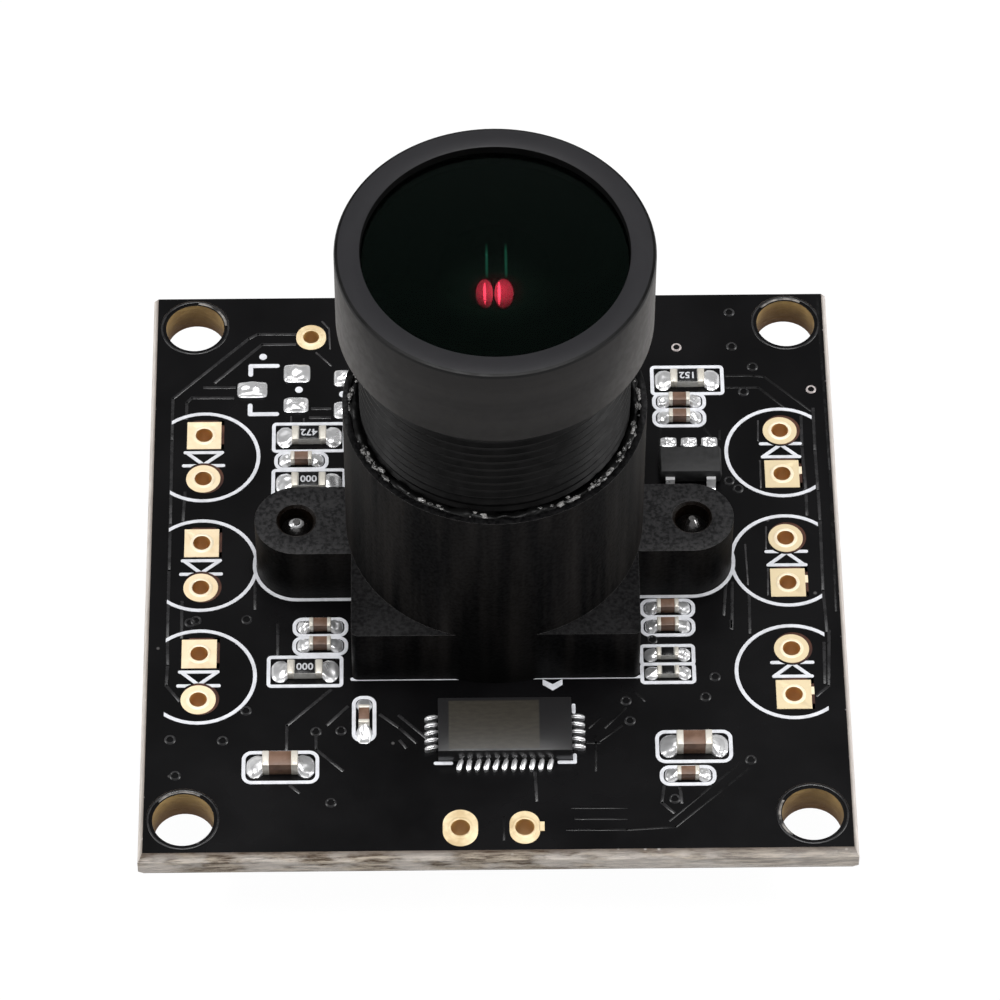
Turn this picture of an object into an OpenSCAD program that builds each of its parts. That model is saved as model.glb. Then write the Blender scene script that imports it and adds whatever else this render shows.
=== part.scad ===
// Square camera module: a scored circuit board with a screw-in lens in a plastic holder.
// The origin is at the centre of the mounting holes, on the board's underside.
// +Z is the lens axis and +Y runs to the edge that carries the cable socket.

/* [Board] */
// Side of the square board
board_side = 32; // [31.5:0.5:36]
// Thickness of the board
board_t = 1.6; // [1:0.1:2]
// Depth of the sloping score along each edge
score_in = 0.23; // [0.1:0.01:0.35]
// Height of each sloping score
score_h = 0.48; // [0.2:0.02:0.48]
// Distance between mounting holes along a side
mount_pitch = 28; // [27:0.5:28]
// Diameter of the mounting holes
mount_d = 2.75; // [2.2:0.05:3]
// Bare ring round each mounting hole, beyond the hole's edge
mount_ring_w = 0.28; // [0.1:0.02:0.4]
// Thickness of the solder mask
mask_t = 0.03; // [0.02:0.01:0.05]
// Thickness of the printed ink
ink_t = 0.03; // [0.02:0.01:0.06]
// Width of a printed line
ink_w = 0.17; // [0.1:0.01:0.22]

/* [Lamp pads] */
// Distance from the board's edge to the row of lamp pads
led_inset = 2.55; // [2.4:0.05:2.8]
// Distance between neighbouring lamps
led_row_pitch = 6.26; // [6:0.05:6.5]
// Distance between the two leads of a lamp
led_lead_pitch = 2.54; // [2:0.02:2.6]
// Diameter of a lamp's outline
led_ring_d = 5.1; // [4.8:0.1:5.6]
// Width of a lamp pad
led_pad_w = 1.6; // [1.4:0.05:1.8]
// Hole in a lamp pad
led_hole_d = 0.8; // [0.6:0.05:1]
// Copper wall of a plated hole
plate_t = 0.05; // [0.03:0.01:0.08]
// Height of a pad over the board
pad_t = 0.04; // [0.02:0.01:0.08]

/* [Lens holder] */
// Wall of the tube round the lens thread
tube_wall = 0.72; // [0.7:0.01:1.2]
// Height of the tube over the board
tube_h = 12; // [10:0.5:13]
// Width of the square base
base_w = 13; // [12.6:0.1:13.2]
// Height of the base and of its ears
base_h = 3.4; // [2.8:0.1:4]
// Corner radius of the base
base_r = 0.3; // [0.1:0.05:0.6]
// Distance between the two fixing screws
ear_pitch = 18; // [17.6:0.1:18.2]
// Width of an ear
ear_w = 3.8; // [3.4:0.1:4.2]
// Hole in an ear
ear_hole_d = 1.6; // [1.4:0.05:1.8]
// Chamfer at the mouth of an ear's hole
ear_chamfer = 0.12; // [0.05:0.01:0.2]
// Width of the square chamber over the sensor
chamber_w = 10.4; // [9.6:0.1:10.8]
// Height of that chamber
chamber_h = 2.6; // [2.2:0.1:2.8]
// Gap between the lens thread and the tube
thread_gap = 0.03; // [0.02:0.01:0.05]
// Width of the glue groove at the rim
groove_w = 0.42; // [0.3:0.02:0.5]
// Depth of the glue groove
groove_h = 0.6; // [0.4:0.05:1]

/* [Holder screws] */
// Head diameter
screw_head_d = 3; // [2.6:0.1:3.4]
// Head height
screw_head_h = 1.2; // [0.8:0.1:1.4]
// Shank diameter
screw_d = 1.56; // [1.3:0.02:1.56]
// Length of the shank, with its point
screw_l = 4.9; // [3.6:0.1:5]
// Length of the point
screw_point_l = 0.7; // [0.4:0.05:1]
// Gap round the shank in the board
screw_gap = 0.1; // [0.05:0.01:0.2]

/* [Lens barrel] */
// Diameter of the threaded neck
neck_d = 12; // [11.8:0.05:12.05]
// Height of the neck's rear end over the board
neck_bottom = 5.2; // [4.6:0.1:6]
// Diameter of the head
head_d = 13.84; // [13.2:0.02:15]
// Height of the head's underside over the board
head_bottom = 18; // [16:0.5:20]
// Length of the head
head_l = 4.57; // [4.2:0.01:5.2]
// Diameter of the front opening
front_d = 11.58; // [11.4:0.02:11.8]
// Chamfer round the head
head_chamfer = 0.16; // [0.05:0.01:0.3]

/* [Fits] */
// Gap round glasses, spacers and contacts in their seats
fit_gap = 0.02; // [0.01:0.01:0.03]

/* [Optics] */
// Depth of the front glass's rim below the barrel's face
front_recess = 0.95; // [0.7:0.05:1.2]
// Thickness of the front glass at its rim
front_edge_t = 1.1; // [0.9:0.05:1.4]
// Radius of the front glass's outer face
front_r = 20; // [20:1:40]
// Radius of the front glass's hollow
front_hollow_r = 4.4; // [4:0.1:4.8]
// Diameter of the second and third glasses
inner_glass_d = 8; // [7.4:0.1:8.4]
// Thickness of the second glass
second_t = 1.9; // [1.6:0.1:2.2]
// Thickness of the third glass
third_t = 1.8; // [1.6:0.1:2.2]
// Diameter of the rear glass
rear_glass_d = 6.4; // [6:0.1:6.8]
// Thickness of the rear glass
rear_t = 2; // [1.6:0.1:2.4]
// Radius of the inner glasses' faces
inner_face_r = 6.5; // [6:0.1:9]
// Thickness of a spacer's rim
spacer_t = 1.6; // [1.2:0.1:2]
// Thickness of the aperture stop
stop_t = 0.3; // [0.2:0.05:0.5]
// Opening of the aperture stop
stop_d = 2.6; // [1.6:0.1:3.4]
// Thickness of the infrared filter
filter_t = 0.5; // [0.3:0.05:0.7]
// Diameter of the infrared filter
filter_d = 8.4; // [7.6:0.1:8.8]

/* [Sensor] */
// Width of the sensor's package
sensor_w = 8; // [7:0.1:8.6]
// Depth of the sensor's package
sensor_d = 7.4; // [6.6:0.1:8.6]
// Height of the sensor's package
sensor_h = 0.9; // [0.7:0.05:1.2]
// Width of the silicon die
die_w = 5.4; // [4.4:0.1:5.8]
// Depth of the silicon die
die_d = 4.2; // [3.4:0.1:4.8]
// Thickness of the die
die_t = 0.25; // [0.15:0.05:0.35]
// Thickness of the cover glass
cover_t = 0.4; // [0.3:0.05:0.6]
// Wall of the package round its recess
sensor_wall = 0.8; // [0.6:0.05:1]

/* [Processor] */
// Offset of the processor from the centre line
cpu_x = 0.36; // [-0.4:0.02:0.4]
// Width of the processor
cpu_w = 6; // [5.6:0.1:6.2]
// Depth of the processor
cpu_d = 2.9; // [2.6:0.1:3.2]
// Height of the processor
cpu_h = 0.85; // [0.7:0.05:1]
// Distance between its terminals
cpu_pitch = 0.405; // [0.38:0.005:0.42]
// Width of a terminal
cpu_pin_w = 0.24; // [0.18:0.01:0.28]
// Reach of a terminal beyond the body
cpu_pin_l = 0.6; // [0.4:0.02:0.64]
// Height of the solder against the body
cpu_pin_h = 0.3; // [0.2:0.02:0.4]

/* [Chip parts] */
// Length of an end cap, as a share of the part
cap_share = 0.2; // [0.16:0.01:0.24]
// How far the end caps stand proud
cap_proud = 0.015; // [0.01:0.005:0.03]
// Solder beyond each end of a small part
solder_l = 0.42; // [0.3:0.02:0.5]
// Height of the solder, as a share of the part
solder_share = 0.6; // [0.4:0.05:0.8]

/* [Regulator] */
// Width of the regulator
reg_w = 2.9; // [2.7:0.1:3.1]
// Depth of the regulator
reg_d = 1.6; // [1.4:0.1:1.7]
// Height of the regulator
reg_h = 1.1; // [0.9:0.05:1.3]
// Distance between its leads
reg_pitch = 0.95; // [0.85:0.05:1]
// Reach of its leads beyond the body
reg_reach = 0.62; // [0.5:0.02:0.7]
// Length of the solder beyond the tips of its leads
reg_toe_l = 0.55; // [0.2:0.05:0.6]

/* [Memory] */
// Width of the memory
memory_w = 4.9; // [4.7:0.1:5.2]
// Depth of the memory
memory_d = 3.9; // [3.6:0.1:4.2]
// Height of the memory
memory_h = 1.45; // [1.2:0.05:1.7]
// Distance between its leads
memory_pitch = 1.27; // [1.2:0.01:1.3]
// Reach of its leads beyond the body
memory_reach = 1.02; // [0.8:0.02:1.1]

/* [Bent leads] */
// Thickness of a bent lead
lead_t = 0.15; // [0.1:0.01:0.2]
// Width of a bent lead
lead_w = 0.42; // [0.3:0.02:0.46]
// Length of the foot, as a share of the reach
lead_foot_share = 0.55; // [0.45:0.05:0.65]
// Gap between a chip's body and the board
body_lift = 0.08; // [0.04:0.01:0.12]

/* [Cable socket] */
// Distance between contacts
socket_pitch = 1.25; // [1.2:0.05:1.5]
// Number of contacts
socket_ways = 4; // [3:1:5]
// Height of the socket
socket_h = 3.4; // [3.2:0.1:4]
// Depth of the socket
socket_depth = 4.9; // [4.6:0.1:5.4]
// Wall of the socket
socket_wall = 0.5; // [0.4:0.05:0.6]
// Thickness of a contact
contact_t = 0.32; // [0.25:0.01:0.4]

/* [Crystal] */
// Width of the crystal
crystal_w = 3.2; // [2.8:0.1:3.4]
// Depth of the crystal
crystal_d = 2.5; // [2.2:0.1:2.8]
// Height of the crystal
crystal_h = 0.75; // [0.6:0.05:1]

/* [Hidden] */
$fn = 96;
cut = 0.1; // how far a cutter runs past a face
tinned_t = pad_t + 0.024; // a pad with solder on it
pad_r = 0.12; // corner of a tinned pad
reg_toe_w = 0.68; // width of the solder at a lead of the regulator
memory_toe_l = 0.16; // and its length at a lead of the memory
glass_fn = 240; // facets of a glass's round faces, seen from the side

board_half = board_side / 2;
led_x = board_half - led_inset;
base_half = base_w / 2;
ear_half = ear_w / 2;
ear_x = ear_pitch / 2;
bore_d = neck_d + 2 * thread_gap;
tube_d = bore_d + 2 * tube_wall;
head_top = head_bottom + head_l;
cpu_y = -base_half - 1.62 - cpu_d / 2;
socket_w = (socket_ways - 1) * socket_pitch + 3;
socket_y = board_half - 0.4 - socket_depth / 2;

// length, width and height of each case, then how much larger its printed frame is both ways
small_resistor = [1, 0.5, 0.35, 1.36, 0.52];
large_resistor = [1.6, 0.8, 0.45, 1.7, 0.8];
small_capacitor = [1, 0.5, 0.5, 1.36, 0.43];
large_capacitor = [1.6, 0.8, 0.8, 1.7, 0.82];

// name, kind, case, x, y, turn: the parts on the lens side, set out from the holder's base and ears
top_parts = [
  ["resistor_rear_left", "resistor", large_resistor, -base_half - 2.05, ear_half + 5.47, 0],
  ["resistor_ear_left", "resistor", large_resistor, -base_half - 2.05, ear_half + 2.75, 0],
  ["resistor_front_left", "resistor", large_resistor, -base_half - 2.14, -ear_half - 4.12, 0],
  ["resistor_rear_right", "resistor", large_resistor, base_half + 2.72, ear_half + 8.67, 0],
  ["resistor_side_right_1", "resistor", small_resistor, base_half + 1.3, -ear_half - 3.38, 0],
  ["resistor_side_right_2", "resistor", small_resistor, base_half + 1.3, -ear_half - 4.4, 0],
  ["capacitor_rear_left", "capacitor", small_capacitor, -base_half - 2.4, ear_half + 4.09, 0],
  ["capacitor_side_left_1", "capacitor", small_capacitor, -base_half - 1.46, -ear_half - 1.67, 0],
  ["capacitor_side_left_2", "capacitor", small_capacitor, -base_half - 1.46, -ear_half - 2.71, 0],
  ["capacitor_chip_left", "capacitor", small_capacitor, -base_half + 0.54, -base_half - 2.17, 90],
  ["capacitor_supply_left", "capacitor", large_capacitor, -base_half - 3.2, -base_half - 4.76, 0],
  ["capacitor_rear_right_1", "capacitor", small_capacitor, base_half + 2.3, ear_half + 7.4, 0],
  ["capacitor_rear_right_2", "capacitor", small_capacitor, base_half + 2.28, ear_half + 6.43, 0],
  ["capacitor_side_right_1", "capacitor", small_capacitor, base_half + 1.38, -ear_half - 0.78, 0],
  ["capacitor_side_right_2", "capacitor", small_capacitor, base_half + 1.36, -ear_half - 1.81, 0],
  ["capacitor_supply_right", "capacitor", large_capacitor, base_half + 2.34, -base_half - 3.83, 0],
  ["capacitor_filter_right", "capacitor", small_capacitor, base_half + 2.02, -base_half - 5.4, 0]
];

// the same for the parts on the underside
under_parts = [
  ["under_capacitor_1", "capacitor", large_capacitor, -8.4, 9.6, 90],
  ["under_capacitor_2", "capacitor", small_capacitor, 6.8, 5.2, 0],
  ["under_capacitor_3", "capacitor", small_capacitor, 6.8, 4, 0],
  ["under_capacitor_4", "capacitor", small_capacitor, 4.6, -8.6, 90],
  ["under_resistor_1", "resistor", small_resistor, -2, 6.6, 0],
  ["under_resistor_2", "resistor", small_resistor, 0.4, 6.6, 0]
];

reg_x = base_half + 2.67;
reg_y = ear_half + 3.35;
memory_x = -4.6;
memory_y = -6.2;
crystal_x = 3;
crystal_y = -4.6;

// plated holes for wires: x, y, width, length along Y, hole
wire_places = [
  [-1.68, -board_half + 1.4, 1.57, 1.95, 0.86],
  [1.18, -board_half + 1.4, 1.36, 1.75, 0.86],
  [-base_half - 2, ear_half + 11.45, 1.42, 1.5, 0.76]
];
// middle of the tinned pads that carry no part, and each pad: x and y from there, width, depth
bare_x = -base_half - 2.65;
bare_y = ear_half + 8.31;
bare_places = [
  [-2.09, -0.01, 1.4, 0.92],
  [0, 0.95, 1.24, 1.05],
  [-0.03, -0.94, 1.16, 0.86],
  [2.2, 0.64, 0.9, 0.95],
  [2.2, -1.26, 0.9, 0.95]
];

// ---------- shared shapes ----------

module at_corners(pitch) {
  for (sx = [-1, 1], sy = [-1, 1])
    translate([sx * pitch / 2, sy * pitch / 2]) children();
}

// a lamp place: side is -1 on the left and 1 on the right
module at_lamps() {
  for (side = [-1, 1], row = [-1, 0, 1])
    translate([side * led_x, row * led_row_pitch]) rotate(side < 0 ? 0 : 180) children();
}

module rounded_rect(w, d, r) {
  square([w - 2 * r, d], center = true);
  square([w, d - 2 * r], center = true);
  for (sx = [-1, 1], sy = [-1, 1])
    translate([sx * (w / 2 - r), sy * (d / 2 - r)]) circle(r = r, $fn = 24);
}

module slot_shape(w, l) {
  r = w / 2;
  square([w, l - w], center = true);
  for (s = [-1, 1]) translate([0, s * (l - w) / 2]) circle(r = r, $fn = 48);
}

module stroke(from, to, w = ink_w) {
  run = to - from;
  translate(from) rotate(atan2(run[1], run[0])) {
    translate([0, -w / 2]) square([norm(run), w]);
    circle(d = w, $fn = 16);
    translate([norm(run), 0]) circle(d = w, $fn = 16);
  }
}

// stands a flat outline, drawn as distance and height, across the width w
module side_profile(w) {
  translate([0, w / 2, 0]) rotate([90, 0, 0]) linear_extrude(w) children();
}

// ---------- board ----------

module scored_slab() {
  half = board_half;
  translate([0, board_half, 0]) rotate([90, 0, 0]) linear_extrude(board_side)
    polygon([
      [-half + score_in, 0], [half - score_in, 0], [half, score_h], [half, board_t - score_h],
      [half - score_in, board_t], [-half + score_in, board_t], [-half, board_t - score_h],
      [-half, score_h]
    ]);
}

module plated_hole_cuts(clear) {
  at_lamps()
    for (s = [-1, 1]) translate([0, s * led_lead_pitch / 2]) circle(d = led_hole_d + 2 * clear, $fn = 48);
  for (p = wire_places) translate([p[0], p[1]]) circle(d = p[4] + 2 * clear, $fn = 48);
}

module pcb() {
  color([0.11, 0.105, 0.11]) difference() {
    intersection() {
      scored_slab();
      rotate(90) scored_slab();
    }
    translate([0, 0, -cut]) linear_extrude(board_t + 2 * cut) {
      at_corners(mount_pitch) circle(d = mount_d);
      for (s = [-1, 1]) translate([s * ear_x, 0]) circle(d = screw_d + 2 * screw_gap, $fn = 48);
      plated_hole_cuts(plate_t);
    }
    translate([0, 0, board_t - mask_t]) linear_extrude(mask_t + cut)
      at_corners(mount_pitch) circle(d = mount_d + 2 * mount_ring_w);
  }
}

// ---------- pads ----------

// one eyelet: two flat pads joined by the copper wall of the hole
module eyelet(hole) {
  for (z = [-pad_t, board_t]) translate([0, 0, z]) linear_extrude(pad_t) difference() {
    children();
    circle(d = hole, $fn = 48);
  }
  linear_extrude(board_t) difference() {
    circle(d = hole + 2 * plate_t, $fn = 48);
    circle(d = hole, $fn = 48);
  }
}

module led_pads() {
  color([0.86, 0.74, 0.48]) at_lamps() {
    translate([0, led_lead_pitch / 2, 0]) eyelet(led_hole_d) square(led_pad_w, center = true);
    translate([0, -led_lead_pitch / 2, 0]) eyelet(led_hole_d) circle(d = led_pad_w, $fn = 64);
  }
}

module wire_pads() {
  color([0.82, 0.72, 0.46])
    for (p = wire_places) translate([p[0], p[1], 0]) eyelet(p[4]) slot_shape(p[2], p[3]);
}

module bare_pads() {
  color([0.86, 0.86, 0.86])
    for (p = bare_places) translate([bare_x + p[0], bare_y + p[1], board_t])
      linear_extrude(tinned_t) rounded_rect(p[2], p[3], pad_r);
}

// ---------- printing ----------

module frame_line(w, d, r) {
  difference() {
    rounded_rect(w + ink_w, d + ink_w, r + ink_w / 2);
    rounded_rect(w - ink_w, d - ink_w, r - ink_w / 2);
  }
}

// ring open towards the board's edge, with a diode sign between the pads
module lamp_print() {
  open_x = 1.53;
  pad_clear = 0.12;
  base_y = 0.27;
  tip_y = -0.38;
  bar_y = -0.5;
  difference() {
    circle(d = led_ring_d + ink_w);
    circle(d = led_ring_d - ink_w);
    translate([-open_x - led_ring_d, -led_ring_d]) square([led_ring_d, 2 * led_ring_d]);
  }
  difference() {
    union() {
      stroke([-0.86, base_y], [0.86, base_y]);
      stroke([-0.8, base_y], [-0.08, tip_y]);
      stroke([0.86, base_y], [0.08, tip_y]);
      stroke([-0.92, bar_y], [0.92, bar_y]);
    }
    translate([0, led_lead_pitch / 2]) square(led_pad_w + 2 * pad_clear, center = true);
    translate([0, -led_lead_pitch / 2]) circle(d = led_pad_w + 2 * pad_clear, $fn = 64);
  }
}

module part_print(p) {
  w = p[2][0] + p[2][3];
  d = p[2][1] + p[2][4];
  translate([p[3], p[4]]) rotate(p[5])
    if (p[1] == "resistor") frame_line(w, d, 0.14);
    else frame_line(w, d, 0.38);
}

module ear_print() {
  r = ear_half + 0.1;
  difference() {
    translate([ear_x, 0]) circle(r = r + ink_w / 2);
    translate([ear_x, 0]) circle(r = r - ink_w / 2);
    translate([ear_x - 2 * r, -2 * r]) square([2 * r, 4 * r]);
    translate([ear_x - cut, 0.35 * r]) square([2 * r, 2 * r]);
  }
  stroke([base_half, -r], [ear_x, -r]);
}

module holder_print() {
  y = -base_half + 0.03;
  ear_print();
  mirror([1, 0]) ear_print();
  stroke([-base_half, y], [base_half, y]);
}

// corner marks, and the arrow at the first terminal
module processor_print() {
  x = cpu_w / 2 + 0.12;
  y = cpu_d / 2 + 0.1;
  corner = [0.7, 0.38];
  arrow_half = 0.45;
  arrow_x = cpu_w / 2 - 0.8;
  arrow_y = y + 0.83;
  stroke([-x, -y], [-x + corner[0], -y]);
  stroke([x - corner[0], -y], [x, -y]);
  stroke([x, -y], [x, -y + corner[1]]);
  stroke([x, y - corner[1]], [x, y]);
  translate([arrow_x, arrow_y]) polygon([
    [0, 0], [arrow_half, 0.32], [arrow_half, 0.62], [0, 0.34], [-arrow_half, 0.62], [-arrow_half, 0.32]
  ]);
}

// two angle marks beside the tinned pads, and three dots
module bare_place_print() {
  line_w = 0.22;
  dot_d = 0.36;
  mark_x = [-2.18, -0.93];
  mark_y = [0.92, 1.44];
  for (s = [-1, 1]) {
    stroke([mark_x[0], s * mark_y[0]], [mark_x[0], s * mark_y[1]], line_w);
    stroke([mark_x[0], s * mark_y[1]], [mark_x[1], s * mark_y[1]], line_w);
  }
  for (p = [[-1.61, 1.99], [0.1, 0], [2.17, -0.29]]) translate(p) circle(d = dot_d, $fn = 24);
}

module silkscreen() {
  color([0.88, 0.89, 0.93]) translate([0, 0, board_t]) linear_extrude(ink_t) difference() {
    union() {
      at_lamps() lamp_print();
      for (p = top_parts) part_print(p);
      holder_print();
      translate([cpu_x, cpu_y]) processor_print();
      translate([bare_x, bare_y]) bare_place_print();
    }
    holder_outline(0.02);
  }
}

// ---------- lens holder ----------

module ear_outline(extra) {
  translate([-ear_x, -ear_half - extra]) square([ear_pitch, ear_w + 2 * extra]);
  for (s = [-1, 1]) translate([s * ear_x, 0]) circle(r = ear_half + extra);
}

module holder_outline(extra) {
  circle(d = tube_d + 2 * extra);
  rounded_rect(base_w + 2 * extra, base_w + 2 * extra, base_r);
  ear_outline(extra);
}

module lens_holder() {
  rim_d = bore_d + 2 * groove_w;
  color([0.09, 0.088, 0.09]) translate([0, 0, board_t]) difference() {
    union() {
      cylinder(d = tube_d, h = tube_h);
      linear_extrude(base_h) {
        rounded_rect(base_w, base_w, base_r);
        ear_outline(0);
      }
    }
    translate([0, 0, -cut]) linear_extrude(chamber_h + cut) rounded_rect(chamber_w, chamber_w, base_r);
    translate([0, 0, chamber_h - cut]) cylinder(d = bore_d, h = tube_h);
    translate([0, 0, tube_h - groove_h]) cylinder(d = rim_d, h = groove_h + cut);
    for (s = [-1, 1]) translate([s * ear_x, 0, 0]) {
      translate([0, 0, -cut]) cylinder(d = ear_hole_d, h = base_h + 2 * cut, $fn = 48);
      translate([0, 0, base_h - ear_chamfer])
        cylinder(d1 = ear_hole_d, d2 = ear_hole_d + 2 * ear_chamfer + 0.02, h = ear_chamfer + 0.01, $fn = 48);
    }
  }
}

// two self-tapping screws, driven in from under the board
module holder_screws() {
  cross_w = 0.4;
  cross_l = 1.7;
  color([0.5, 0.5, 0.52]) for (s = [-1, 1]) translate([s * ear_x, 0, 0]) {
    difference() {
      intersection() {
        translate([0, 0, -screw_head_h]) cylinder(d = screw_head_d, h = screw_head_h, $fn = 64);
        translate([0, 0, screw_head_d - screw_head_h]) sphere(r = screw_head_d, $fn = 64);
      }
      for (a = [0, 90]) rotate(a) translate([-cross_l / 2, -cross_w / 2, -screw_head_h - cut])
        cube([cross_l, cross_w, 0.55 * screw_head_h + cut]);
    }
    cylinder(d = screw_d, h = screw_l - screw_point_l, $fn = 48);
    translate([0, 0, screw_l - screw_point_l])
      cylinder(d1 = screw_d, d2 = 0.3, h = screw_point_l, $fn = 48);
  }
}

// ---------- lens ----------

// heights over the board of the seats inside the barrel, from the front to the rear
front_seat = head_top - front_recess;
front_floor = front_seat - front_edge_t;
second_top = front_floor - spacer_t;
stop_top = second_top - second_t;
third_top = stop_top - stop_t;
rear_top = third_top - third_t - spacer_t;
rear_floor = rear_top - rear_t;
inner_bore_d = inner_glass_d + 2 * fit_gap;
rear_bore_d = rear_glass_d + 2 * fit_gap;

module lens_barrel() {
  rear_hole_d = rear_glass_d - 1;
  filter_seat = filter_t + fit_gap;
  color([0.16, 0.155, 0.155]) translate([0, 0, board_t]) difference() {
    rotate_extrude() polygon([
      [0, neck_bottom], [neck_d / 2 - 0.3, neck_bottom], [neck_d / 2, neck_bottom + 0.3],
      [neck_d / 2, head_bottom], [head_d / 2 - head_chamfer, head_bottom],
      [head_d / 2, head_bottom + head_chamfer], [head_d / 2, head_top - head_chamfer],
      [head_d / 2 - head_chamfer, head_top], [0, head_top]
    ]);
    translate([0, 0, front_floor]) cylinder(d = front_d, h = head_top - front_floor + cut);
    translate([0, 0, rear_top]) cylinder(d = inner_bore_d, h = front_floor - rear_top + cut);
    translate([0, 0, rear_floor]) cylinder(d = rear_bore_d, h = rear_t + cut);
    translate([0, 0, neck_bottom - cut]) cylinder(d = rear_hole_d, h = rear_floor - neck_bottom + 2 * cut);
    translate([0, 0, neck_bottom - cut]) cylinder(d = filter_d + 2 * fit_gap, h = filter_seat + cut);
  }
}

module front_glass() {
  r = front_d / 2 - fit_gap;
  centre_z = front_seat - sqrt(front_r * front_r - r * r);
  hollow_z = front_floor - 0.75 * front_hollow_r;
  color([0.05, 0.08, 0.07, 0.5]) translate([0, 0, board_t]) rotate_extrude() difference() {
    intersection() {
      translate([0, front_floor]) square([r, head_top - front_floor]);
      translate([0, centre_z]) circle(r = front_r, $fn = glass_fn);
    }
    translate([0, hollow_z]) circle(r = front_hollow_r, $fn = glass_fn);
  }
}

module spacer(top, outer_d, inner_d) {
  translate([0, 0, board_t + top - spacer_t]) difference() {
    cylinder(d = outer_d - 2 * fit_gap, h = spacer_t);
    translate([0, 0, -cut]) cylinder(d = inner_d, h = spacer_t + 2 * cut);
  }
}

module spacer_ring() {
  color([0.06, 0.06, 0.06]) spacer(front_floor, inner_bore_d, inner_glass_d - 1);
}

module rear_spacer() {
  color([0.06, 0.06, 0.06]) spacer(rear_top + spacer_t, inner_bore_d, rear_glass_d - 1);
}

// a glass with both faces round, whose rim is half its thickness
module round_glass(top, d, t) {
  r = d / 2 - fit_gap;
  rise = inner_face_r - sqrt(inner_face_r * inner_face_r - r * r);
  swell = min(t / 4, rise);
  face_r = (r * r + swell * swell) / (2 * swell);
  translate([0, 0, board_t + top - t]) rotate_extrude() intersection() {
    square([r, t]);
    translate([0, t - face_r]) circle(r = face_r, $fn = glass_fn);
    translate([0, face_r]) circle(r = face_r, $fn = glass_fn);
  }
}

module second_glass() {
  color([0.1, 0.04, 0.05, 0.5]) round_glass(second_top, inner_bore_d, second_t);
}

module third_glass() {
  color([0.06, 0.1, 0.08, 0.5]) round_glass(third_top, inner_bore_d, third_t);
}

module rear_glass() {
  color([0.06, 0.1, 0.08, 0.5]) round_glass(rear_top, rear_bore_d, rear_t);
}

module aperture_stop() {
  color([0.04, 0.04, 0.04]) translate([0, 0, board_t + third_top]) difference() {
    cylinder(d = inner_bore_d - 2 * fit_gap, h = stop_t);
    translate([0, 0, -cut]) cylinder(d = stop_d, h = stop_t + 2 * cut);
  }
}

module infrared_filter() {
  color([0.55, 0.25, 0.35, 0.6]) translate([0, 0, board_t + neck_bottom + fit_gap])
    cylinder(d = filter_d, h = filter_t);
}

// the bead of glue that locks the lens thread, in the groove at the rim
module thread_adhesive() {
  inner_r = neck_d / 2;
  w = thread_gap + groove_w;
  dome_z = groove_h - 0.3 * w;
  color([0.14, 0.14, 0.14]) translate([0, 0, board_t + tube_h - groove_h]) rotate_extrude() {
    translate([inner_r, 0]) square([w, dome_z]);
    intersection() {
      translate([inner_r, dome_z]) square(w);
      translate([inner_r + w / 2, dome_z]) circle(d = w, $fn = 48);
    }
  }
}

// ---------- sensor ----------

module sensor_package() {
  color([0.16, 0.16, 0.17]) translate([0, 0, board_t]) difference() {
    translate([-sensor_w / 2, -sensor_d / 2, 0]) cube([sensor_w, sensor_d, sensor_h]);
    translate([0, 0, sensor_h - cover_t]) linear_extrude(cover_t + cut)
      square([sensor_w - 2 * sensor_wall / 2, sensor_d - 2 * sensor_wall / 2], center = true);
    translate([0, 0, sensor_h - cover_t - die_t]) linear_extrude(die_t + cut)
      square([sensor_w - 2 * sensor_wall, sensor_d - 2 * sensor_wall], center = true);
  }
}

module sensor_die() {
  color([0.3, 0.35, 0.42]) translate([-die_w / 2, -die_d / 2, board_t + sensor_h - cover_t - die_t])
    cube([die_w, die_d, die_t - fit_gap]);
}

module sensor_cover_glass() {
  w = sensor_w - sensor_wall - 2 * fit_gap;
  d = sensor_d - sensor_wall - 2 * fit_gap;
  color([0.7, 0.8, 0.8, 0.4]) translate([-w / 2, -d / 2, board_t + sensor_h - cover_t]) cube([w, d, cover_t]);
}

// ---------- chips ----------

module processor_body() {
  color([0.16, 0.155, 0.15]) translate([cpu_x, cpu_y, board_t]) linear_extrude(cpu_h)
    square([cpu_w, cpu_d], center = true);
}

// one row of soldered terminals along a side that is distance away from the centre
module terminal_row(count, distance) {
  for (i = [0 : count - 1]) translate([distance, (i - (count - 1) / 2) * cpu_pitch, 0])
    side_profile(cpu_pin_w) difference() {
      square([cpu_pin_l, cpu_pin_h]);
      translate([cpu_pin_l, cpu_pin_h + 0.06]) circle(r = cpu_pin_h, $fn = 48);
    }
}

module processor_terminals() {
  long_count = 11;
  short_count = 5;
  color([0.85, 0.85, 0.87]) translate([cpu_x, cpu_y, board_t]) {
    for (a = [0, 180]) rotate(a) terminal_row(short_count, cpu_w / 2);
    for (a = [90, 270]) rotate(a) terminal_row(long_count, cpu_d / 2);
  }
}

// outline of a moulded body's end: widest at its parting line
module moulded_outline(w, h, mid) {
  slope = 0.08;
  x = w / 2;
  polygon([[-x + slope, 0], [x - slope, 0], [x, mid], [x - slope, h], [-x + slope, h], [-x, mid]]);
}

// where the leads leave a body of height h
function lead_drop(h) = body_lift + 0.45 * h;

module moulded_body(w, d, h) {
  mid = lead_drop(h) - body_lift;
  translate([0, 0, body_lift]) intersection() {
    side_profile(d) moulded_outline(w, h - body_lift, mid);
    rotate(90) side_profile(w) moulded_outline(d, h - body_lift, mid);
  }
}

// a bent lead that leaves the body at height drop and stands on the board
module bent_lead(drop, reach) {
  heel = reach * (1 - lead_foot_share);
  knee = 0.35 * heel;
  side_profile(lead_w) polygon([
    [0, drop], [knee + lead_t / 2, drop], [heel + lead_t / 2, lead_t], [reach, lead_t],
    [reach, 0], [heel, 0], [knee, drop - lead_t], [0, drop - lead_t]
  ]);
}

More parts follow.
